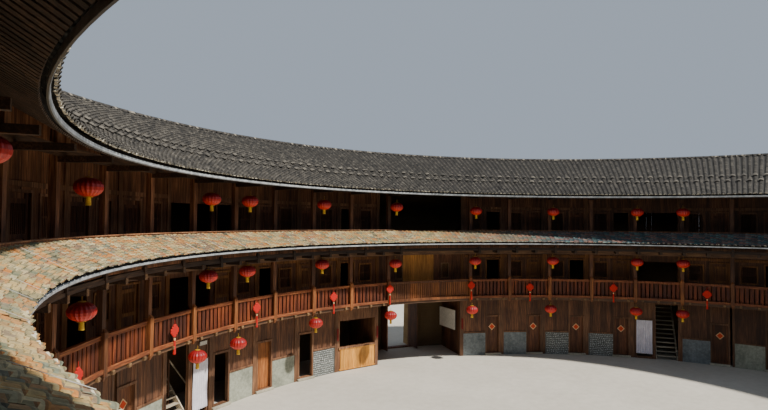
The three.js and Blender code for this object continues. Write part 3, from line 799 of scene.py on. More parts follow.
# %% Tiles of the high roof
INNER_COLUMNS = 440
OUTER_COLUMNS = 520
HIGH_SEAT = 7.768
HIGH_TOP = 9.73
HIGH_TILT = (HIGH_TOP - HIGH_SEAT) / (RIDGE_R - HIGH_ROOF_START)
HIGH_TILE_WIDTH, HIGH_TILE_RISE = 0.148, 0.05
UNDER_RIDGE = 0.1
PAN_COURSES = 6
OUTER_EAVE_Z = RIDGE_Z - SLOPE * (EAVE_OUT_R - RIDGE_R)
inner_length = slope_length(RIDGE_R - UNDER_RIDGE - HIGH_ROOF_START, HIGH_TILT)
outer_length = slope_length(EAVE_OUT_R - RIDGE_R - UNDER_RIDGE, SLOPE)
for i in range(4):
    quarter = azimuth(LEFT, 90 * i), azimuth(LEFT, 90 * (i + 1))
    inner = tile_column(HIGH_TILE_WIDTH, HIGH_TILE_RISE, round(inner_length / HIGH_COURSE),
                        HIGH_COURSE, 0.017, 3, nose=0.012)
    lay_columns(inner, HIGH_TILT, HIGH_ROOF_START, HIGH_SEAT, INNER_COLUMNS // 4, quarter)
    outer = tile_column(HIGH_TILE_WIDTH, HIGH_TILE_RISE, round(outer_length / HIGH_COURSE),
                        HIGH_COURSE, 0.015, 3)
    lay_columns(outer, SLOPE, EAVE_OUT_R - 0.005, OUTER_EAVE_Z + 0.004, OUTER_COLUMNS // 4, quarter,
                outer=True)
    spare = bpy.data.meshes.new("spare")
    outer.to_mesh(spare)
    outer.free()
    inner.from_mesh(spare)
    bpy.data.meshes.remove(spare)
    weather(inner, 2.3, 0.012)
    add_piece(inner, f"high_tiles_{i + 1}", HIGH_TILE)

for side, word in SIDES.items():
    pans = tile_column(0.11, 0.025, PAN_COURSES, inner_length / PAN_COURSES, 0.0, 2, hollow=True)
    lay_columns(pans, HIGH_TILT, HIGH_ROOF_START + 0.01, HIGH_SEAT + 0.016, INNER_COLUMNS // 2,
                HALF_TURNS[side], half=0.0)
    add_piece(pans, f"high_pans_{word}", HIGH_PAN)

# %% [markdown]
# The pent roof lies close under the eye, so its tiles are rounder, and each pan tile between the
# covers is modelled too.

# %% Tiles of the pent roof
PENT_SEAT = 5.596
PENT_TOP = 6.05
PENT_RUN = PENT_TOP_R - 0.007 - PENT_ROOF_START
PENT_TILT = (PENT_TOP - PENT_SEAT) / PENT_RUN


def stagger(shape, half):
    """Slides each column along its slope by the share that its finish knows."""
    for vert in shape.verts:
        turn = math.atan2(vert.co.y, vert.co.x)
        column = math.floor(turn * PENT_COLUMNS / (2 * math.pi) + half)
        share = column * GOLDEN - math.floor(column * GOLDEN)
        step = (share - 0.5) * PENT_SLIDE
        vert.co += Vector((math.cos(turn), math.sin(turn), PENT_TILT)) * step


pent_courses = round(slope_length(PENT_RUN, PENT_TILT) / PENT_COURSE)
for side, word in SIDES.items():
    covers = tile_column(0.165, 0.033, pent_courses, PENT_COURSE, 0.01, 5, nose=0.022)
    lay_columns(covers, PENT_TILT, PENT_ROOF_START, PENT_SEAT + 0.006, PENT_COLUMNS // 2,
                HALF_TURNS[side])
    stagger(covers, 0.0)
    weather(covers, 3.1, 0.012)
    add_piece(covers, f"pent_tiles_{word}", PENT_TILE)
    pans = tile_column(0.13, 0.022, pent_courses, PENT_COURSE, 0.012, 3, nose=-0.02, hollow=True)
    lay_columns(pans, PENT_TILT, PENT_ROOF_START - 0.018, PENT_SEAT + 0.028, PENT_COLUMNS // 2,
                HALF_TURNS[side], half=0.0)
    stagger(pans, 0.5)
    weather(pans, 3.1, 0.008)
    add_piece(pans, f"pent_pans_{word}", PENT_PAN)

# %% [markdown]
# The end of each column is closed with a cake of pale mortar. It is the same arc as the tile,
# filled to a face and given a little depth.


# %% Ends of the tile columns
def column_ends(width, rise, radius_at, height, count):
    unit = arch(width, rise, 5)
    unit.faces.new(unit.verts)
    deepen(unit, 0.03)
    place = Matrix.Rotation(math.pi / count, 4, "Z") @ Matrix.Translation((0, radius_at, height))
    bmesh.ops.transform(unit, matrix=place, verts=unit.verts)
    return all_round(unit, count)


high_ends = column_ends(0.135, 0.045, HIGH_ROOF_START - 0.006, HIGH_SEAT - 0.004, INNER_COLUMNS)
weather(high_ends, 9.0, 0.016)
add_piece(high_ends, "high_tile_ends", TILE_END)
pent_ends = column_ends(0.134, 0.042, PENT_ROOF_START - 0.006, PENT_SEAT, PENT_COLUMNS)
stagger(pent_ends, 0.0)
weather(pent_ends, 9.0, 0.01)
add_piece(pent_ends, "pent_tile_ends", TILE_END)

# %% [markdown]
# Two rows of loose tiles weigh the courtyard slope down. They lie across every second gap between
# the columns, and the rows are set one gap apart.

# %% Rows of tiles that weigh the slope down
WEIGHT_TILE = clay("weight_tile", 220, 0.5, 0.0, shades("3a3733", "5f5a52", "4a4640", "716b61"), None,
                   0.8, 0.2, line=0.0)
for row, share in enumerate((0.62, 0.75)):
    radius = RIDGE_R - share * (RIDGE_R - EAVE_IN_R)
    height = HIGH_SEAT + HIGH_TILT * (radius - HIGH_ROOF_START) + 0.062
    unit = tile_column(0.2, 0.035, courses=1, exposure=0.13, lift=0.0, steps=4)
    bmesh.ops.solidify(unit, geom=unit.faces[:], thickness=0.014)
    place = Matrix.Translation((0, radius, height)) @ Matrix.Rotation(math.atan(SLOPE), 4, "X")
    first_turn = math.pi * 2 / INNER_COLUMNS * (row + 0.5)
    bmesh.ops.transform(
        unit, matrix=Matrix.Rotation(first_turn, 4, "Z") @ place, verts=unit.verts)
    all_round(unit, INNER_COLUMNS // 2)
    weather(unit, 5.0, 0.02)
    add_piece(unit, f"weight_tiles_{row + 1}", WEIGHT_TILE)

# %% [markdown]
# The ridge is capped with short half-round tiles, laid end to end along the ring.

# %% Ridge
RIDGE_TILES = 310
RIDGE_SEAT = 9.712
ridge = tile_column(0.24, 0.08, courses=1, exposure=0.3, lift=0.012, steps=5)
along_ridge = Matrix.Translation((0, RIDGE_R, RIDGE_SEAT)) @ Matrix.Rotation(math.pi / 2, 4, "Z")
bmesh.ops.transform(ridge, matrix=along_ridge, verts=ridge.verts)
add_piece(all_round(ridge, RIDGE_TILES), "ridge_tiles", RIDGE_TILE)

# %% [markdown]
# ## Under the eaves
#
# The tiles lie on flat rafters, set close together. Near both eaves a round beam joins the arms that
# reach out from the gallery posts.


# %% Rafters
def rafters(name, slope, inner_r, inner_z, outer_r, count, depth, width=0.11, reach=0.02):
    run = slope_length(outer_r - inner_r, slope)
    unit = built(((-width / 2, reach, -depth - 0.03), (width / 2, run, -depth + 0.002)))
    place = Matrix.Translation((0, inner_r, inner_z)) @ Matrix.Rotation(math.atan(slope), 4, "X")
    bmesh.ops.transform(unit, matrix=place, verts=unit.verts)
    add_piece(all_round(unit, count), name, RAFTER_WOOD)


rafters("high_rafters", SLOPE, EAVE_IN_R, EAVE_IN_Z, RIDGE_R, 740, 0.125, 0.075, -0.088)
earth_top_z = RIDGE_Z - SLOPE * (EARTH_TOP_R - RIDGE_R)
rafters("outer_rafters", -SLOPE, EARTH_TOP_R, earth_top_z, EAVE_OUT_R, 500, 0.107)
rafters("pent_rafters", PENT_SLOPE, PENT_EAVE_R, PENT_EAVE_Z, PENT_TOP_R, 420, 0.1, 0.075)

# %% [markdown]
# Short struts stand on the arms of the pent roof at the posts, and a thin board runs in front of
# them. The arms were sawn off square, so their ends show.

# %% Ends of the arms, struts and the front board
ARM_ANGLES = [(side, post_angle(k / 2)) for side in SIDES for k in range(2 * ROOM_BAYS + 1)]
POST_ANGLES = [(side, post_angle(k)) for side in SIDES for k in range(ROOM_BAYS + 1)]
arm_end = built(((-0.056, 13.442, 5.086), (0.056, 13.45, 5.222)), edge=0.003)
lay(arm_end, "pent_arm_ends", ARM_WOOD, angles(ARM_ANGLES))
strut = built(((-0.05, 13.455, 5.222), (0.05, 13.53, 5.4)), edge=0.004)
lay(strut, "pent_struts", BEAM_WOOD, angles(POST_ANGLES))
FRONT_BOARD = [(13.475, 5.2), (13.5, 5.2), (13.5, 5.27), (13.475, 5.27)]
add_piece(swept_ring(FRONT_BOARD, closed=True), "pent_front_board", BEAM_WOOD)

# %% [markdown]
# The gutters are folded from thin sheet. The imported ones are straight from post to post, while
# sheet metal is bent to the curve, so each is made again here: a section of five points, spun
# round the ring and given its thickness.


# %% Gutters
def gutter(name, node, edge_r, rim_z, width, depth):
    outer = edge_r - 0.004
    inner = outer - width
    sheet = swept_ring([
        (inner, rim_z), (inner + width * 0.14, rim_z - depth * 0.7),
        (inner + width * 0.45, rim_z - depth), (outer, rim_z - depth), (outer, rim_z)])
    bmesh.ops.solidify(sheet, geom=sheet.faces[:], thickness=0.003)
    piece = add_piece(sheet, name, GUTTER_METAL)
    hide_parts(node)


gutter("high_gutter_sheet", "eave_gutter", EAVE_IN_R - 0.062, 7.70, 0.036, 0.076)
gutter("pent_gutter_sheet", "pent_gutter", PENT_EAVE_R - 0.004, 5.533, 0.052, 0.062)

# %% [markdown]
# Thin straps of the same sheet run back over the first tiles and hold the lower gutter. They were
# nailed on by eye, so no two lie quite alike.

# %% Straps
strap = built(((-0.011, 0.0, 0.0), (0.011, 1.0, 0.004)))
LONG_STRAP, LONG_SHARE = 81.5, 0.8
STRAP_ANGLES = [(LEFT, angle) for angle in (70.2, 81.5, 91.0, 94.6, 100.6, 110.5, 114.4, 121, 128)]
STRAP_ANGLES += [(LEFT, 12 + 5.3 * i) for i in range(11)] + [(LEFT, 133 + 6.1 * i) for i in range(8)]
STRAP_ANGLES += [(RIGHT, 75 + 11.7 * i) for i in range(9)]
strap_places = []
for side, angle in STRAP_ANGLES:
    lie = (
        ring_place(side, angle + chance.uniform(-0.2, 0.2), PENT_ROOF_START + 0.01)
        @ Matrix.Translation((0, 0, PENT_SEAT + 0.062))
        @ Matrix.Rotation(-chance.uniform(0.25, 0.45), 4, "Z")
        @ Matrix.Rotation(math.atan(PENT_TILT), 4, "X")
        @ Matrix.Diagonal((1, LONG_SHARE if angle == LONG_STRAP else chance.uniform(0.25, 0.45), 1, 1)))
    strap_places.append(lie)
lay(strap, "gutter_straps", STRAP_METAL, strap_places)

# %% [markdown]
# ## The galleries
#
# The balustrade of the second storey has flat slats with gaps between them, a bottom rail and a
# handrail with a cap board. The posts run down past the floor's edge, and between them the ends of
# the floor joists show as short blocks with softened edges.

# %% Balustrade
SPAN = bay_length(GALLERY_R)
NEWEL_HALF = 0.075
SLATS_LOW, SLATS_HIGH = (-0.014, FLOOR_2), (0.014, RAIL_TOP - RAIL_HEIGHT + 0.01)


def cap_and_foot(start, end):
    """The cap board on the handrail and the board before the floor's edge."""
    return [((start, -0.062, RAIL_TOP - 0.002), (end, 0.055, RAIL_TOP + 0.022)),
            ((start, -0.13, 2.925), (end, -0.075, 3.03))]


slats = bmesh.new()
slat_row(slats, NEWEL_HALF, SPAN - NEWEL_HALF, 10, 0.063, SLATS_LOW, SLATS_HIGH)
lay(slats, "balustrade_slats", SLAT_WOOD, bays(radius=GALLERY_R))
cap_board, foot_board = cap_and_foot(0.0, SPAN)
handrail_face = ((0.0, -0.046, RAIL_TOP - RAIL_HEIGHT - 0.012), (SPAN, -0.03, RAIL_TOP))
rails = built(cap_board, handrail_face, foot_board, edge=0.006)
lay(rails, "balustrade_rails", RAIL_WOOD, bays(radius=GALLERY_R))

# %% [markdown]
# Each newel is a square post with a pointed head above the handrail and a carved drop below the
# floor. Both points are cones with four sides.


# %% Newels
def four_sided_point(unit, x_half, y_low, y_high, base_z, tip_z):
    middle, deep = (y_low + y_high) / 2, (y_high - y_low) / 2
    matrix = (
        Matrix.Translation((0, middle, (base_z + tip_z) / 2)) @ Matrix.Diagonal((x_half, deep, 1, 1))
        @ Matrix.Rotation(math.pi / 4, 4, "Z"))
    up = tip_z > base_z
    bmesh.ops.create_cone(
        unit, cap_ends=True, segments=4, radius1=math.sqrt(2) if up else 0.4,
        radius2=0.1 if up else math.sqrt(2), depth=abs(tip_z - base_z), matrix=matrix)


newel = built(((-NEWEL_HALF, -0.15, 2.86), (NEWEL_HALF, 0.077, 3.87)), edge=0.008)
four_sided_point(newel, 0.073, -0.148, 0.06, 3.868, 3.98)
four_sided_point(newel, 0.07, -0.146, 0.0, 2.862, 2.75)
lay(newel, "balustrade_newels", NEWEL_WOOD, angles(POST_ANGLES, GALLERY_R))

JOIST_SHARES = (0.16, 0.5, 0.84)
joists = built(*[((SPAN * share - 0.05, -0.16, 2.815), (SPAN * share + 0.05, 0.3, 2.92))
                 for share in JOIST_SHARES], edge=0.012)
lay(joists, "joist_ends", END_WOOD, bays(radius=GALLERY_R))

# %% [markdown]
# Across the two halls the balustrade has no newels, and its boards stand close together.

# %% Boards before the halls
HALL_STEP = 2.1
HALL_HALF_WIDTH = 0.272
hall_boards = bmesh.new()
slat_row(hall_boards, -0.275, 0.275, 5, 0.042, SLATS_LOW, SLATS_HIGH)
for low, high in cap_and_foot(-HALL_HALF_WIDTH, HALL_HALF_WIDTH):
    board(hall_boards, low, high)
hall_spots = []
for side in SIDES:
    for i in range(4):
        angle = HALL_STEP * (i + 0.5)
        hall_spots += [(side, angle), (side, 180 - angle)]
lay(hall_boards, "hall_balustrade", NEWEL_WOOD, angles(hall_spots, GALLERY_R - 0.004))

# %% [markdown]
# ## The room walls
#
# One bay of a room wall has boards from floor to beam, a window with upright bars and a framed
# door. The boards are laid piece by piece round the openings, with a fine gap between them.

# %% Bays of the upper storeys
WINDOW = (0.18 * LENGTH, 0.45 * LENGTH)
DOOR = (0.61 * LENGTH, 0.93 * LENGTH)
UPPER = {
    2: {"floor": FLOOR_2, "top": 5.01, "door": 4.65, "sill": 3.85, "head": 4.55, "open": 2},
    3: {"floor": FLOOR_3, "top": 8.9, "door": 7.0, "sill": 6.05, "head": 6.95, "open": 3},
}
CLOSED_AS_WELL = (3, 6)
BOARD = 0.15
FACE = -0.016
STILE = 0.09


def boards(unit, x0, x1, z0, z1, front=FACE, back=0.004):
    """Upright boards side by side, with a narrow gap at each joint."""
    count = max(1, round((x1 - x0) / BOARD))
    width = (x1 - x0) / count
    for i in range(count):
        lean = chance.uniform(0, 0.005)
        start, end = x0 + width * i, x0 + width * (i + 1)
        board(unit, (start + 0.003, front - lean, z0), (end - 0.003, back, z1))


def wall_boards(storey):
    s = UPPER[storey]
    unit = bmesh.new()
    for x0, x1, z0, z1 in (
            (0.08, WINDOW[0], s["floor"], s["top"]), (*WINDOW, s["floor"], s["sill"]),
            (*WINDOW, s["head"], s["top"]), (WINDOW[1], DOOR[0], s["floor"], s["top"]),
            (*DOOR, s["door"], s["top"]), (DOOR[1], LENGTH - 0.08, s["floor"], s["top"])):
        boards(unit, x0, x1, z0, z1)
    return unit


def wall_frames(storey):
    s = UPPER[storey]
    unit = bmesh.new()
    wide, proud = 0.06, -0.045
    for (x0, x1), low, high in ((WINDOW, s["sill"], s["head"]), (DOOR, s["floor"], s["door"])):
        board(unit, (x0 - wide, proud, low), (x0, 0.03, high + wide))
        board(unit, (x1, proud, low), (x1 + wide, 0.03, high + wide))
        board(unit, (x0 - wide, proud - 0.004, high), (x1 + wide, 0.034, high + wide + 0.004))
        if low > s["floor"]:
            board(unit, (x0 - wide, proud - 0.01, low - wide), (x1 + wide, 0.034, low))
    board(unit, (-0.085, -0.06, s["floor"]), (0.085, 0.03, s["top"]))
    board(unit, (0.0, -0.05, s["door"] + 0.12), (LENGTH, 0.0, s["door"] + 0.24))
    soften(unit, 0.004)
    return unit


def window_bars(storey):
    s = UPPER[storey]
    unit = bmesh.new()
    middle = (s["sill"] + s["head"]) / 2
    slat_row(unit, *WINDOW, 9, 0.012, (0.0, s["sill"]), (0.025, s["head"]))
    board(unit, (WINDOW[0], 0.004, middle - 0.02), (WINDOW[1], 0.022, middle + 0.02))
    return unit


def door_face(storey):
    """The leaf of a closed door: stiles, rails, slats above and a plain panel below."""
    s = UPPER[storey]
    unit = bmesh.new()
    x0, x1 = DOOR
    middle = s["floor"] + (s["door"] - s["floor"]) * 0.5
    for a, b in ((x0, x0 + STILE), (x1 - STILE, x1)):
        board(unit, (a, 0.03, s["floor"] + 0.01), (b, 0.062, s["door"]))
    for z in (s["floor"] + 0.01, middle - 0.05, s["door"] - 0.22):
        board(unit, (x0 + STILE, 0.032, z), (x1 - STILE, 0.062, z + 0.1))
    slat_row(unit, x0 + STILE, x1 - STILE, 8, 0.014, (0.042, middle + 0.05),
             (0.062, s["door"] - 0.2))
    return unit


ROOM_WALLS = [(side, k) for side, k in EVERY_BAY if k != STAIR_BAY]
for storey, sizes in UPPER.items():
    trim, leaf = (LATTICE_WOOD, LATTICE_WOOD) if storey == 2 else (FRAME_WOOD, DOOR_WOOD)
    shut = [(side, k) for side, k in ROOM_WALLS
            if k % sizes["open"] or (storey, k) == CLOSED_AS_WELL]
    lay(wall_boards(storey), f"wall_boards_{storey}", WALL_WOOD, bays(ROOM_WALLS))
    lay(wall_frames(storey), f"wall_frames_{storey}", trim, bays(ROOM_WALLS))
    lay(window_bars(storey), f"window_bars_{storey}", WALL_WOOD, bays(ROOM_WALLS))
    lay(door_face(storey), f"door_faces_{storey}", leaf, bays(shut))

# %% [markdown]
# Board shutters close the small windows of the outer wall from inside. Where they stand open they
# are folded back against the earth.


# %% Shutters of the outer windows
SHUTTER_LOW, SHUTTER_HIGH = 6.12, 7.08


def shutter(low_x, high_x, front):
    unit = bmesh.new()
    planks(unit, (low_x, front, SHUTTER_LOW), (high_x, front + 0.022, SHUTTER_HIGH))
    for z in (6.25, 6.88):
        board(unit, (low_x + 0.02, front - 0.016, z), (high_x - 0.02, front, z + 0.07))
    return unit


CLOSED_UP_TO = {LEFT: 8, RIGHT: 9}
window_spots = [(side, k, (side, post_angle(k + 0.5))) for side, k in EVERY_BAY]
shut_at = [spot for side, k, spot in window_spots if k <= CLOSED_UP_TO[side]]
open_at = [spot for side, k, spot in window_spots if k > CLOSED_UP_TO[side]]
lay(shutter(-0.37, 0.37, 17.862), "shutters_closed", DOOR_WOOD, angles(shut_at))
lay(shutter(0.4, 1.12, 17.8), "shutters_open", DOOR_WOOD, angles(open_at))

# %% [markdown]
# The parapet of the third storey is boarded too. Only its top shows over the pent roof, with a
# capping board.

# %% Parapet cap
cap_span = bay_length(PARAPET_R)
cap = built(((0.0, -0.02, PARAPET_TOP - 0.004), (cap_span, 0.1, PARAPET_TOP + 0.022)), edge=0.005)
lay(cap, "parapet_cap", FRAME_WOOD, bays(radius=PARAPET_R))

# %% [markdown]
# ## The ground floor
#
# Each bay has a half wall of brick, cobbles or plaster, with boards above it and a framed door
# beside it. Bricks are laid in courses, each one half a brick along from the one below.

# %% Half walls
WALL_FROM, WALL_TO, WALL_TOP = 0.09, 1.235, 1.08
BRICK_LONG, BRICK_HIGH = 0.235, 0.066


def brick_facing():
    unit = bmesh.new()
    row, z = 0, 0.008
    while z < WALL_TOP - 0.03:
        x = WALL_FROM - (BRICK_LONG / 2 if row % 2 else 0)
        while x < WALL_TO - 0.02:
            a, b = max(x, WALL_FROM) + 0.004, min(x + BRICK_LONG, WALL_TO) - 0.004
            if b - a > 0.03:
                proud = chance.uniform(0.006, 0.014)
                board(unit, (a, -proud, z), (b, 0.01, min(z + BRICK_HIGH, WALL_TOP) - 0.008))
            x += BRICK_LONG
        z += BRICK_HIGH
        row += 1
    return unit


def cobble_facing():
    unit = bmesh.new()
    z = 0.055
    while z < WALL_TOP - 0.02:
        x = WALL_FROM + 0.05 + chance.uniform(0, 0.04)
        while x < WALL_TO - 0.03:
            wide, high = chance.uniform(0.045, 0.085), chance.uniform(0.038, 0.056)
            matrix = (
                Matrix.Translation((x + wide / 2, 0.006, z + chance.uniform(-0.012, 0.012)))
                @ Matrix.Rotation(chance.uniform(-0.5, 0.5), 4, "Y")
                @ Matrix.Diagonal((wide, 0.022, high, 1)))
            bmesh.ops.create_icosphere(unit, subdivisions=1, radius=0.72, matrix=matrix)
            x += wide * 1.28
        z += 0.088
    return unit


FACED = {
    "brick": [(RIGHT, 0), (RIGHT, 1), (RIGHT, 5), (LEFT, 8), (LEFT, 12), (LEFT, 16), (LEFT, 19),
              (RIGHT, 9), (RIGHT, 13), (RIGHT, 17), (RIGHT, 20)],
    "cobble": [(LEFT, 1), (RIGHT, 2), (RIGHT, 3), (LEFT, 7), (LEFT, 10), (LEFT, 14), (LEFT, 18),
               (RIGHT, 7), (RIGHT, 11), (RIGHT, 15), (RIGHT, 18)],
}
half_walls = [(s, k) for s, k in EVERY_BAY if k != STAIR_BAY and (s, k) != (LEFT, 0)]
FACED["plaster"] = [spot for spot in half_walls if spot not in FACED["brick"] + FACED["cobble"]]
plaster = built(((WALL_FROM, -0.012, 0.0), (WALL_TO, 0.01, WALL_TOP)), edge=0.006)
mortar = built(((WALL_FROM, -0.003, 0.0), (WALL_TO, 0.01, WALL_TOP)))
lay(brick_facing(), "brick_facing", BRICK, bays(FACED["brick"]))
lay(cobble_facing(), "cobble_facing", COBBLE, bays(FACED["cobble"]))
lay(plaster, "plaster_facing", PLASTER, bays(FACED["plaster"]))
lay(mortar, "mortar", MORTAR, bays(FACED["brick"] + FACED["cobble"]))

# %% Boards, rails and sills of the ground floor
JAMB_BACK = 0.01
lower = bmesh.new()
boards(lower, WALL_FROM, WALL_TO, WALL_TOP, GROUND_TOP, 0.012, 0.035)
boards(lower, 1.3, 1.932, 1.91, GROUND_TOP, 0.012, 0.035)
lay(lower, "ground_boards", WALL_WOOD, bays(half_walls))
trim = built(
    ((WALL_FROM, -0.03, WALL_TOP - 0.005), (WALL_TO, 0.034, WALL_TOP + 0.065)),
    ((WALL_FROM, -0.004, GROUND_TOP - 0.16), (LENGTH - 0.09, 0.036, GROUND_TOP)),
    ((1.225, -0.018, 0.1), (1.305, JAMB_BACK, 1.93)),
    ((1.925, -0.018, 0.1), (2.005, JAMB_BACK, 1.93)),
    ((1.225, -0.022, 1.845), (2.005, JAMB_BACK, 1.925)), edge=0.005)
lay(trim, "ground_frames", FRAME_WOOD, bays(half_walls))
sill = built(((1.2, -0.1, 0.0), (2.03, 0.0, 0.085)), edge=0.012, segments=2)
lay(sill, "door_sills", SILL_STONE, bays(half_walls))

# %% [markdown]
# ## Doors
#
# A door is three wide planks. Each one turns with its own body, so its planks and its diamond of
# paper ride with it.


# %% Doors that open
DOOR_LEAF = ((1.283, 0.121, 0.108), (1.949, 0.137, 1.842))
FAR_LEAF = ((1.305, 0.035, 0.1), (1.927, 0.062, 1.848))
LEAF_MIDDLE, DIAMOND_Z = 1.616, 1.34
HUNG = [(RIGHT, k) for k in (0, 1, 2, 3, 5)] + [(LEFT, k) for k in (2, 5)]
PLAIN_DOOR = (LEFT, 2)


def leaf_planks(leaf):
    unit = bmesh.new()
    planks(unit, *leaf)
    return unit


def diamond(size, front):
    unit = bmesh.new()
    place = Matrix.Translation((LEAF_MIDDLE, front, DIAMOND_Z)) @ Matrix.Rotation(math.pi / 2, 4, "X")
    bmesh.ops.create_circle(unit, cap_ends=True, segments=4, radius=size, matrix=place)
    deepen(unit, 0.004)
    return unit


for spot in HUNG:
    end = f"{SIDES[spot[0]]}_{spot[1]}"
    wood = SUNLIT_DOOR if spot == PLAIN_DOOR else DOOR_WOOD
    parts = [("planks", leaf_planks(DOOR_LEAF), wood)]
    if spot != PLAIN_DOOR:
        parts += [("diamond_edge", diamond(0.175, 0.117), PAPER_EDGE),
                  ("diamond", diamond(0.13, 0.114), PAPER)]
    for kind, unit, material in parts:
        lay(unit, f"{kind}_{end}", material, bays([spot]), f"door_{end}")

far = [(side, k) for side, k in half_walls if k > 5]
lay(leaf_planks(FAR_LEAF), "far_doors", DOOR_WOOD, bays(far))

# %% [markdown]
# ## The shop, the gate hall and the passage
#
# New boards stand out yellow among the old: the counter of the shop, and the middle of the gate
# hall's wall on the second storey.

# %% Shop counter
shop = bmesh.new()
boards(shop, 0.12, 1.9, 0.06, 0.93, -0.03, 0.0)
board(shop, (0.1, -0.05, 0.93), (1.98, -0.001, 0.965))
board(shop, (0.1, -0.045, 0.04), (1.95, 0.0, 0.1))
lay(shop, "shop_counter", NEW_WOOD, bays([(LEFT, 0)]))
shop_band = bmesh.new()
boards(shop_band, 0.1, 1.97, 2.16, GROUND_TOP, -0.02, 0.0)
lay(shop_band, "shop_band", FRAME_WOOD, bays([(LEFT, 0)]))

# %% Gate hall
HALL_SPAN = (on_ring(LEFT, HALL_HALF, ROOM_R, 0) - on_ring(LEFT, 0, ROOM_R, 0)).length
HALL_TOP = 5.0
NEW_BOARDS_TO = {LEFT: 0.9, RIGHT: 0.74}
HALL_WINDOWS = {LEFT: (0.96, 1.26), RIGHT: (1.17, 1.5)}
WINDOW_LOW, WINDOW_HIGH = 3.84, 4.47
TRIM = 0.05
for side, word in SIDES.items():
    low_x, high_x = HALL_WINDOWS[side]
    fresh, old, slats = bmesh.new(), bmesh.new(), bmesh.new()
    boards(fresh, 0.0, NEW_BOARDS_TO[side], FLOOR_2, HALL_TOP)
    boards(old, NEW_BOARDS_TO[side], low_x, FLOOR_2, HALL_TOP)
    boards(old, high_x, HALL_SPAN - 0.05, FLOOR_2, HALL_TOP)
    boards(old, low_x, high_x, FLOOR_2, WINDOW_LOW)
    boards(old, low_x, high_x, WINDOW_HIGH, HALL_TOP)
    window = built(
        *[((x, -0.04, WINDOW_LOW - TRIM), (x + TRIM, 0.0, WINDOW_HIGH + TRIM))
          for x in (low_x - TRIM, high_x)],
        *[((low_x, -0.038, z), (high_x, 0.0, z + TRIM)) for z in (WINDOW_LOW - TRIM, WINDOW_HIGH)])
    slat_row(slats, low_x, high_x, 7, 0.01, (-0.02, WINDOW_LOW), (0.0, WINDOW_HIGH))
    for kind, unit, material in (("new_boards", fresh, PLAIN_WOOD), ("boards", old, WALL_WOOD),
                                 ("frame", window, END_WOOD), ("slats", slats, RAFTER_WOOD)):
        lay(unit, f"gate_hall_{kind}_{word}", material, [chord_place(side, 0, HALL_HALF)])

# %% [markdown]
# The two leaves of the main gate stand open against the sides of its passage. They are wide planks
# with three battens across the back, and a blank notice board hangs on the passage wall.

# %% Gate leaves and notice board
LEAF_X = (0.799, 0.805)
LEAF_BACK_X = (0.855, 0.865)
LEAF_LENGTH = (-18.0, -17.185)
for side, word in SIDES.items():
    leaf, battens = bmesh.new(), bmesh.new()
    for i in range(4):
        start = LEAF_LENGTH[0] + (LEAF_LENGTH[1] - LEAF_LENGTH[0]) * i / 4
        board(leaf, (LEAF_X[0], start + 0.002, 0.08), (LEAF_X[1], start + 0.2, 2.45))
    for z in (0.4, 1.2, 2.05):
        board(battens, (LEAF_BACK_X[0], -17.95, z), (LEAF_BACK_X[1], -17.23, z + 0.1))
    for unit, kind in ((leaf, "planks"), (battens, "battens")):
        lay(unit, f"gate_{kind}_{word}", DOOR_WOOD, [Matrix.Diagonal((side, 1, 1, 1))],
            f"gate_leaf_{word}")

NOTICE = ((-2.089, -17.1, 1.2), (-2.074, -15.6, 2.15))
add_piece(built(NOTICE, edge=0.003), "notice_board", PLATE_WHITE)

# %% [markdown]
# Strips of plain red paper are pasted on the posts beside the shop and the gate passage, and a
# blank plate hangs beside the stair. The left stair has a slanted handrail between two posts.

# %% Papers, plate and handrail
PAPERS = [(LEFT, 0, 1.25), (LEFT, 1, 1.35), (RIGHT, 0, 1.3)]
paper = built(((-0.045, -0.068, 0.0), (0.045, -0.06, 0.52)))
paper_places = [ring_place(side, post_angle(k), ROOM_R) @ Matrix.Translation((0, -0.04, z))
                for side, k, z in PAPERS]
lay(paper, "red_papers", RED_PAPER, paper_places)
plate = built(((-0.16, -0.02, 2.31), (0.16, -0.005, 2.44)))
lay(plate, "blank_plate", PLATE_WHITE, angles([(LEFT, post_angle(STAIR_BAY + 0.2))], ROOM_R - 0.05))
handrail, handrail_posts = bmesh.new(), bmesh.new()
STAIR_RAIL_R = 16.0
foot, head = on_ring(LEFT, 40.5, STAIR_RAIL_R, 0.66), on_ring(LEFT, 44.3, STAIR_RAIL_R, 1.95)
log(handrail, foot, head, 0.024)
for spot in (foot, head):
    log(handrail_posts, (spot.x, spot.y, 0.0), (spot.x, spot.y, spot.z + 0.03), 0.028)
add_piece(handrail, "stair_handrail", STEP_WOOD)
add_piece(handrail_posts, "stair_handrail_posts", POST_WOOD)

# %% [markdown]
# ## Curtains
#
# A white cotton curtain in two parts closes the doorway beside each stair. It starts as a flat
# grid and is gathered into upright folds that open out towards the hem. The flat width of the sheet
# is no known cut; the area of the folded cloth is worked out below and printed.


# %% Curtains
CURTAIN_DOORWAY = (0.2, 0.89)
CURTAIN_TOP, CURTAIN_BOTTOM = 1.83, 0.24
CURTAIN_Y = -0.045
FOLDS = 7


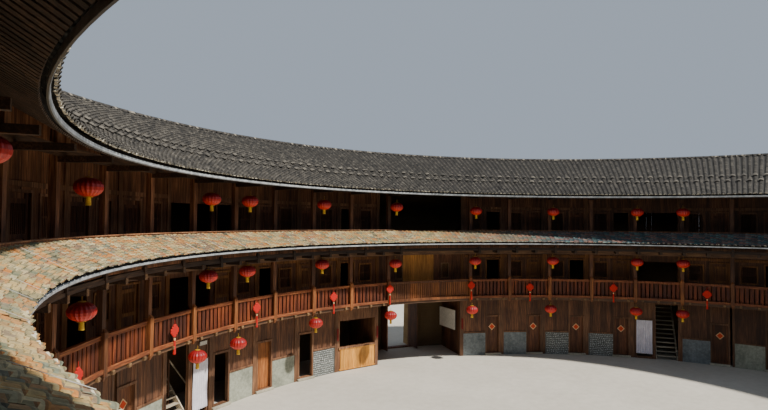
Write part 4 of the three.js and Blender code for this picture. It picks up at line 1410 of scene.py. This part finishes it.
def curtain(side):
    word = SIDES[side]
    width = CURTAIN_DOORWAY[1] - CURTAIN_DOORWAY[0]
    tall = CURTAIN_TOP - CURTAIN_BOTTOM
    cloth = bmesh.new()
    bmesh.ops.create_grid(cloth, x_segments=64, y_segments=36, size=0.5)
    for vert in cloth.verts:
        u, v = vert.co.x + 0.5, vert.co.y + 0.5
        fold = 0.012 + 0.018 * (1 - v)
        wave = math.sin(u * 2 * math.pi * FOLDS + 0.6 * math.sin(v * 5)) * fold
        split = 0.012 * (1 - v) * (1 if u > 0.5 else -1)
        vert.co = Vector((CURTAIN_DOORWAY[0] + width * u + split, CURTAIN_Y + wave,
                          CURTAIN_BOTTOM + tall * v))
    parts = repeat(cloth, bays([(side, STAIR_BAY)]))
    area = sum(face.calc_area() for face in parts.faces)
    piece = add_piece(parts, f"curtain_{word}", CURTAIN_CLOTH, smooth=True)
    pole = bmesh.new()
    log(pole, (0.16, CURTAIN_Y, CURTAIN_TOP + 0.012), (0.93, CURTAIN_Y, CURTAIN_TOP + 0.012), 0.012,
        10)
    for x in (0.18, 0.91):
        board(pole, (x - 0.012, CURTAIN_Y, CURTAIN_TOP), (x + 0.012, 0.004, CURTAIN_TOP + 0.03))
    lay(pole, f"curtain_pole_{word}", END_WOOD, bays([(side, STAIR_BAY)]))
    print("curtain", word, "cloth area", round(area, 3))


for side in SIDES:
    curtain(side)

# %% [markdown]
# ## Lanterns and knots
#
# A lantern is a flattened ball of red silk. A sphere whose meridians are drawn in every second time
# gives the pleats. It has a gilt ring above and below and a yellow tassel.


# %% Lanterns
LANTERN_R, LANTERN_HALF_HEIGHT = 0.275, 0.195
MERIDIANS = 36


def lantern_silk():
    unit = bmesh.new()
    bmesh.ops.create_uvsphere(unit, u_segments=MERIDIANS, v_segments=10, radius=1.0)
    for vert in unit.verts:
        turn = math.atan2(vert.co.y, vert.co.x)
        pleat = 1.0 - 0.06 * (round(turn / (2 * math.pi / MERIDIANS)) % 2)
        wide = LANTERN_R * pleat
        vert.co = Vector((vert.co.x * wide, vert.co.y * wide, vert.co.z * LANTERN_HALF_HEIGHT))
    return unit


def lantern_rings():
    unit = bmesh.new()
    for z, wide in ((0.185, 0.075), (-0.185, 0.085)):
        log(unit, (0, 0, z - 0.016), (0, 0, z + 0.016), wide, 16)
    log(unit, (0, 0, 0.2), (0, 0, 0.33), 0.006, 6)
    return unit


def hanging(low, high, radius, sides, end_radius=None):
    """A tassel or a bead."""
    unit = bmesh.new()
    log(unit, (0, 0, low), (0, 0, high), radius, sides, end_radius)
    return unit


LANTERN_POSTS = [0, 2, 4, 5, 8, 11, 13, 16, 17, 19, 21]
LANTERN_LEVELS = [
    ("high", 13.85, {LEFT: 7.1, RIGHT: 7.0}),
    ("middle", 13.92, {LEFT: 4.8, RIGHT: 4.7}),
    ("low", 14.25, {LEFT: 2.4, RIGHT: 2.4})]
EXTRA_LANTERNS = {("high", LEFT): [10.3]}
OTHER_HEIGHTS = {("high", LEFT, 10.3): 7.31, ("middle", LEFT, 0): 4.67, ("middle", LEFT, 8): 4.66,
                 ("low", LEFT, 2): 2.5}
for word, radius, heights in LANTERN_LEVELS:
    places = []
    for side in SIDES:
        for k in LANTERN_POSTS + EXTRA_LANTERNS.get((word, side), []):
            height = OTHER_HEIGHTS.get((word, side, k), heights[side])
            spot = on_ring(side, post_angle(k), radius, height)
            places.append(Matrix.Translation(spot) @ Matrix.Rotation(chance.uniform(0, 1), 4, "Z"))
    tassel = hanging(-0.36, -0.2, 0.055, 12, 0.045)
    for kind, unit, material in (("lanterns", lantern_silk(), LANTERN_SILK),
                                 ("lantern_rings", lantern_rings(), LANTERN_GOLD),
                                 ("lantern_tassels", tassel, TASSEL_THREAD)):
        lay(unit, f"{kind}_{word}", material, places)

# %% [markdown]
# A knot is a lobed diamond of red cord with a pale bead and a long tassel below it. They hang before
# the balustrade, most of them in the middle of a bay.


# %% Knots
def knot():
    unit = bmesh.new()
    quarter = math.pi / 2
    bmesh.ops.create_cube(
        unit, size=1,
        matrix=Matrix.Rotation(quarter / 2, 4, "Y") @ Matrix.Diagonal((0.24, 0.035, 0.24, 1)))
    for i in range(4):
        for j in (-1, 0, 1):
            turn = Matrix.Rotation(quarter / 2 + i * quarter, 4, "Y")
            place = turn @ Matrix.Translation((0.125, 0, j * 0.078)) @ Matrix.Diagonal((1, 0.5, 1, 1))
            bmesh.ops.create_icosphere(unit, subdivisions=1, radius=0.045, matrix=place)
    log(unit, (0, 0, -0.66), (0, 0, -0.27), 0.044, 8, 0.03)
    log(unit, (0, 0, 0.18), (0, 0, 0.3), 0.006, 6)
    return unit


KNOT_R = 14.33
KNOTS = [(0, 3.53), (1.5, 3.41), (3.5, 3.43), (5.5, 3.34), (7.6, 3.2), (10.5, 3.4), (13.5, 3.45),
         (15.5, 3.4), (17.5, 3.42), (19.5, 3.45)]
knot_places = [ring_place(side, post_angle(k), KNOT_R) @ Matrix.Translation((0, 0, z))
               for side in SIDES for k, z in KNOTS]
lay(knot(), "knots", KNOT_CORD, knot_places)
lay(hanging(-0.28, -0.21, 0.03, 8), "knot_beads", PAPER_EDGE, knot_places)

# %% [markdown]
# ## Camera, light and floor
#
# The camera stands on the third-storey gallery and looks across the courtyard to the gate. A warm
# sun comes over the roof behind it, as soft as daylight through thin cloud, and a pale sky fills
# the shade.


# %% Camera
VIEW_FROM = on_ring(LEFT, 90 + 32.13, 14.332, 6.48)
HEADING, PITCH, ROLL = (math.radians(angle) for angle in (245.965, 1.705, 0.527))
FOCAL_PIXELS, PHOTO_WIDTH, SENSOR = 548.2, 768, 36


def set_camera():
    ahead = Vector((math.cos(HEADING) * math.cos(PITCH), math.sin(HEADING) * math.cos(PITCH),
                    math.sin(PITCH)))
    right = ahead.cross(Vector((0, 0, 1))).normalized()
    up = right.cross(ahead)
    tilted_right = right * math.cos(ROLL) + up * math.sin(ROLL)
    tilted_up = up * math.cos(ROLL) - right * math.sin(ROLL)
    place = Matrix((tilted_right, tilted_up, -ahead)).transposed().to_4x4()
    place.translation = VIEW_FROM
    camera = bpy.data.objects.new("camera", bpy.data.cameras.new("camera"))
    camera.data.sensor_width = SENSOR
    camera.data.lens = SENSOR * FOCAL_PIXELS / PHOTO_WIDTH
    camera.data.clip_end = 500
    camera.matrix_world = place
    bpy.context.scene.collection.objects.link(camera)
    bpy.context.scene.camera = camera


set_camera()

# %% Light and floor
sun = bpy.data.objects.new("sun", bpy.data.lights.new("sun", "SUN"))
sun.data.energy = 6.4
sun.data.angle = math.radians(2.5)
sun.data.color = (1.0, 0.95, 0.87)
from_sun = Vector((-0.3726, 0.4504, 0.8111))
sun.matrix_world = from_sun.to_track_quat("Z", "Y").to_matrix().to_4x4()
bpy.context.scene.collection.objects.link(sun)

world = bpy.data.worlds.new("world")
world.use_nodes = True
sky = world.node_tree.nodes["Background"].inputs
sky["Color"].default_value = (0.66, 0.77, 0.92, 1)
sky["Strength"].default_value = 0.55
bpy.context.scene.world = world

ground = bmesh.new()
bmesh.ops.create_grid(ground, x_segments=1, y_segments=1, size=400,
                      matrix=Matrix.Translation((0, 0, -0.002)))
ground_mesh = bpy.data.meshes.new("floor")
ground.to_mesh(ground_mesh)
ground.free()
ground_mesh.materials.append(mineral("studio_floor", "b9b3a6", "c9c4b8", 3.0, 0.001, 0.9))
floor = bpy.data.objects.new("floor", ground_mesh)
bpy.context.scene.collection.objects.link(floor)
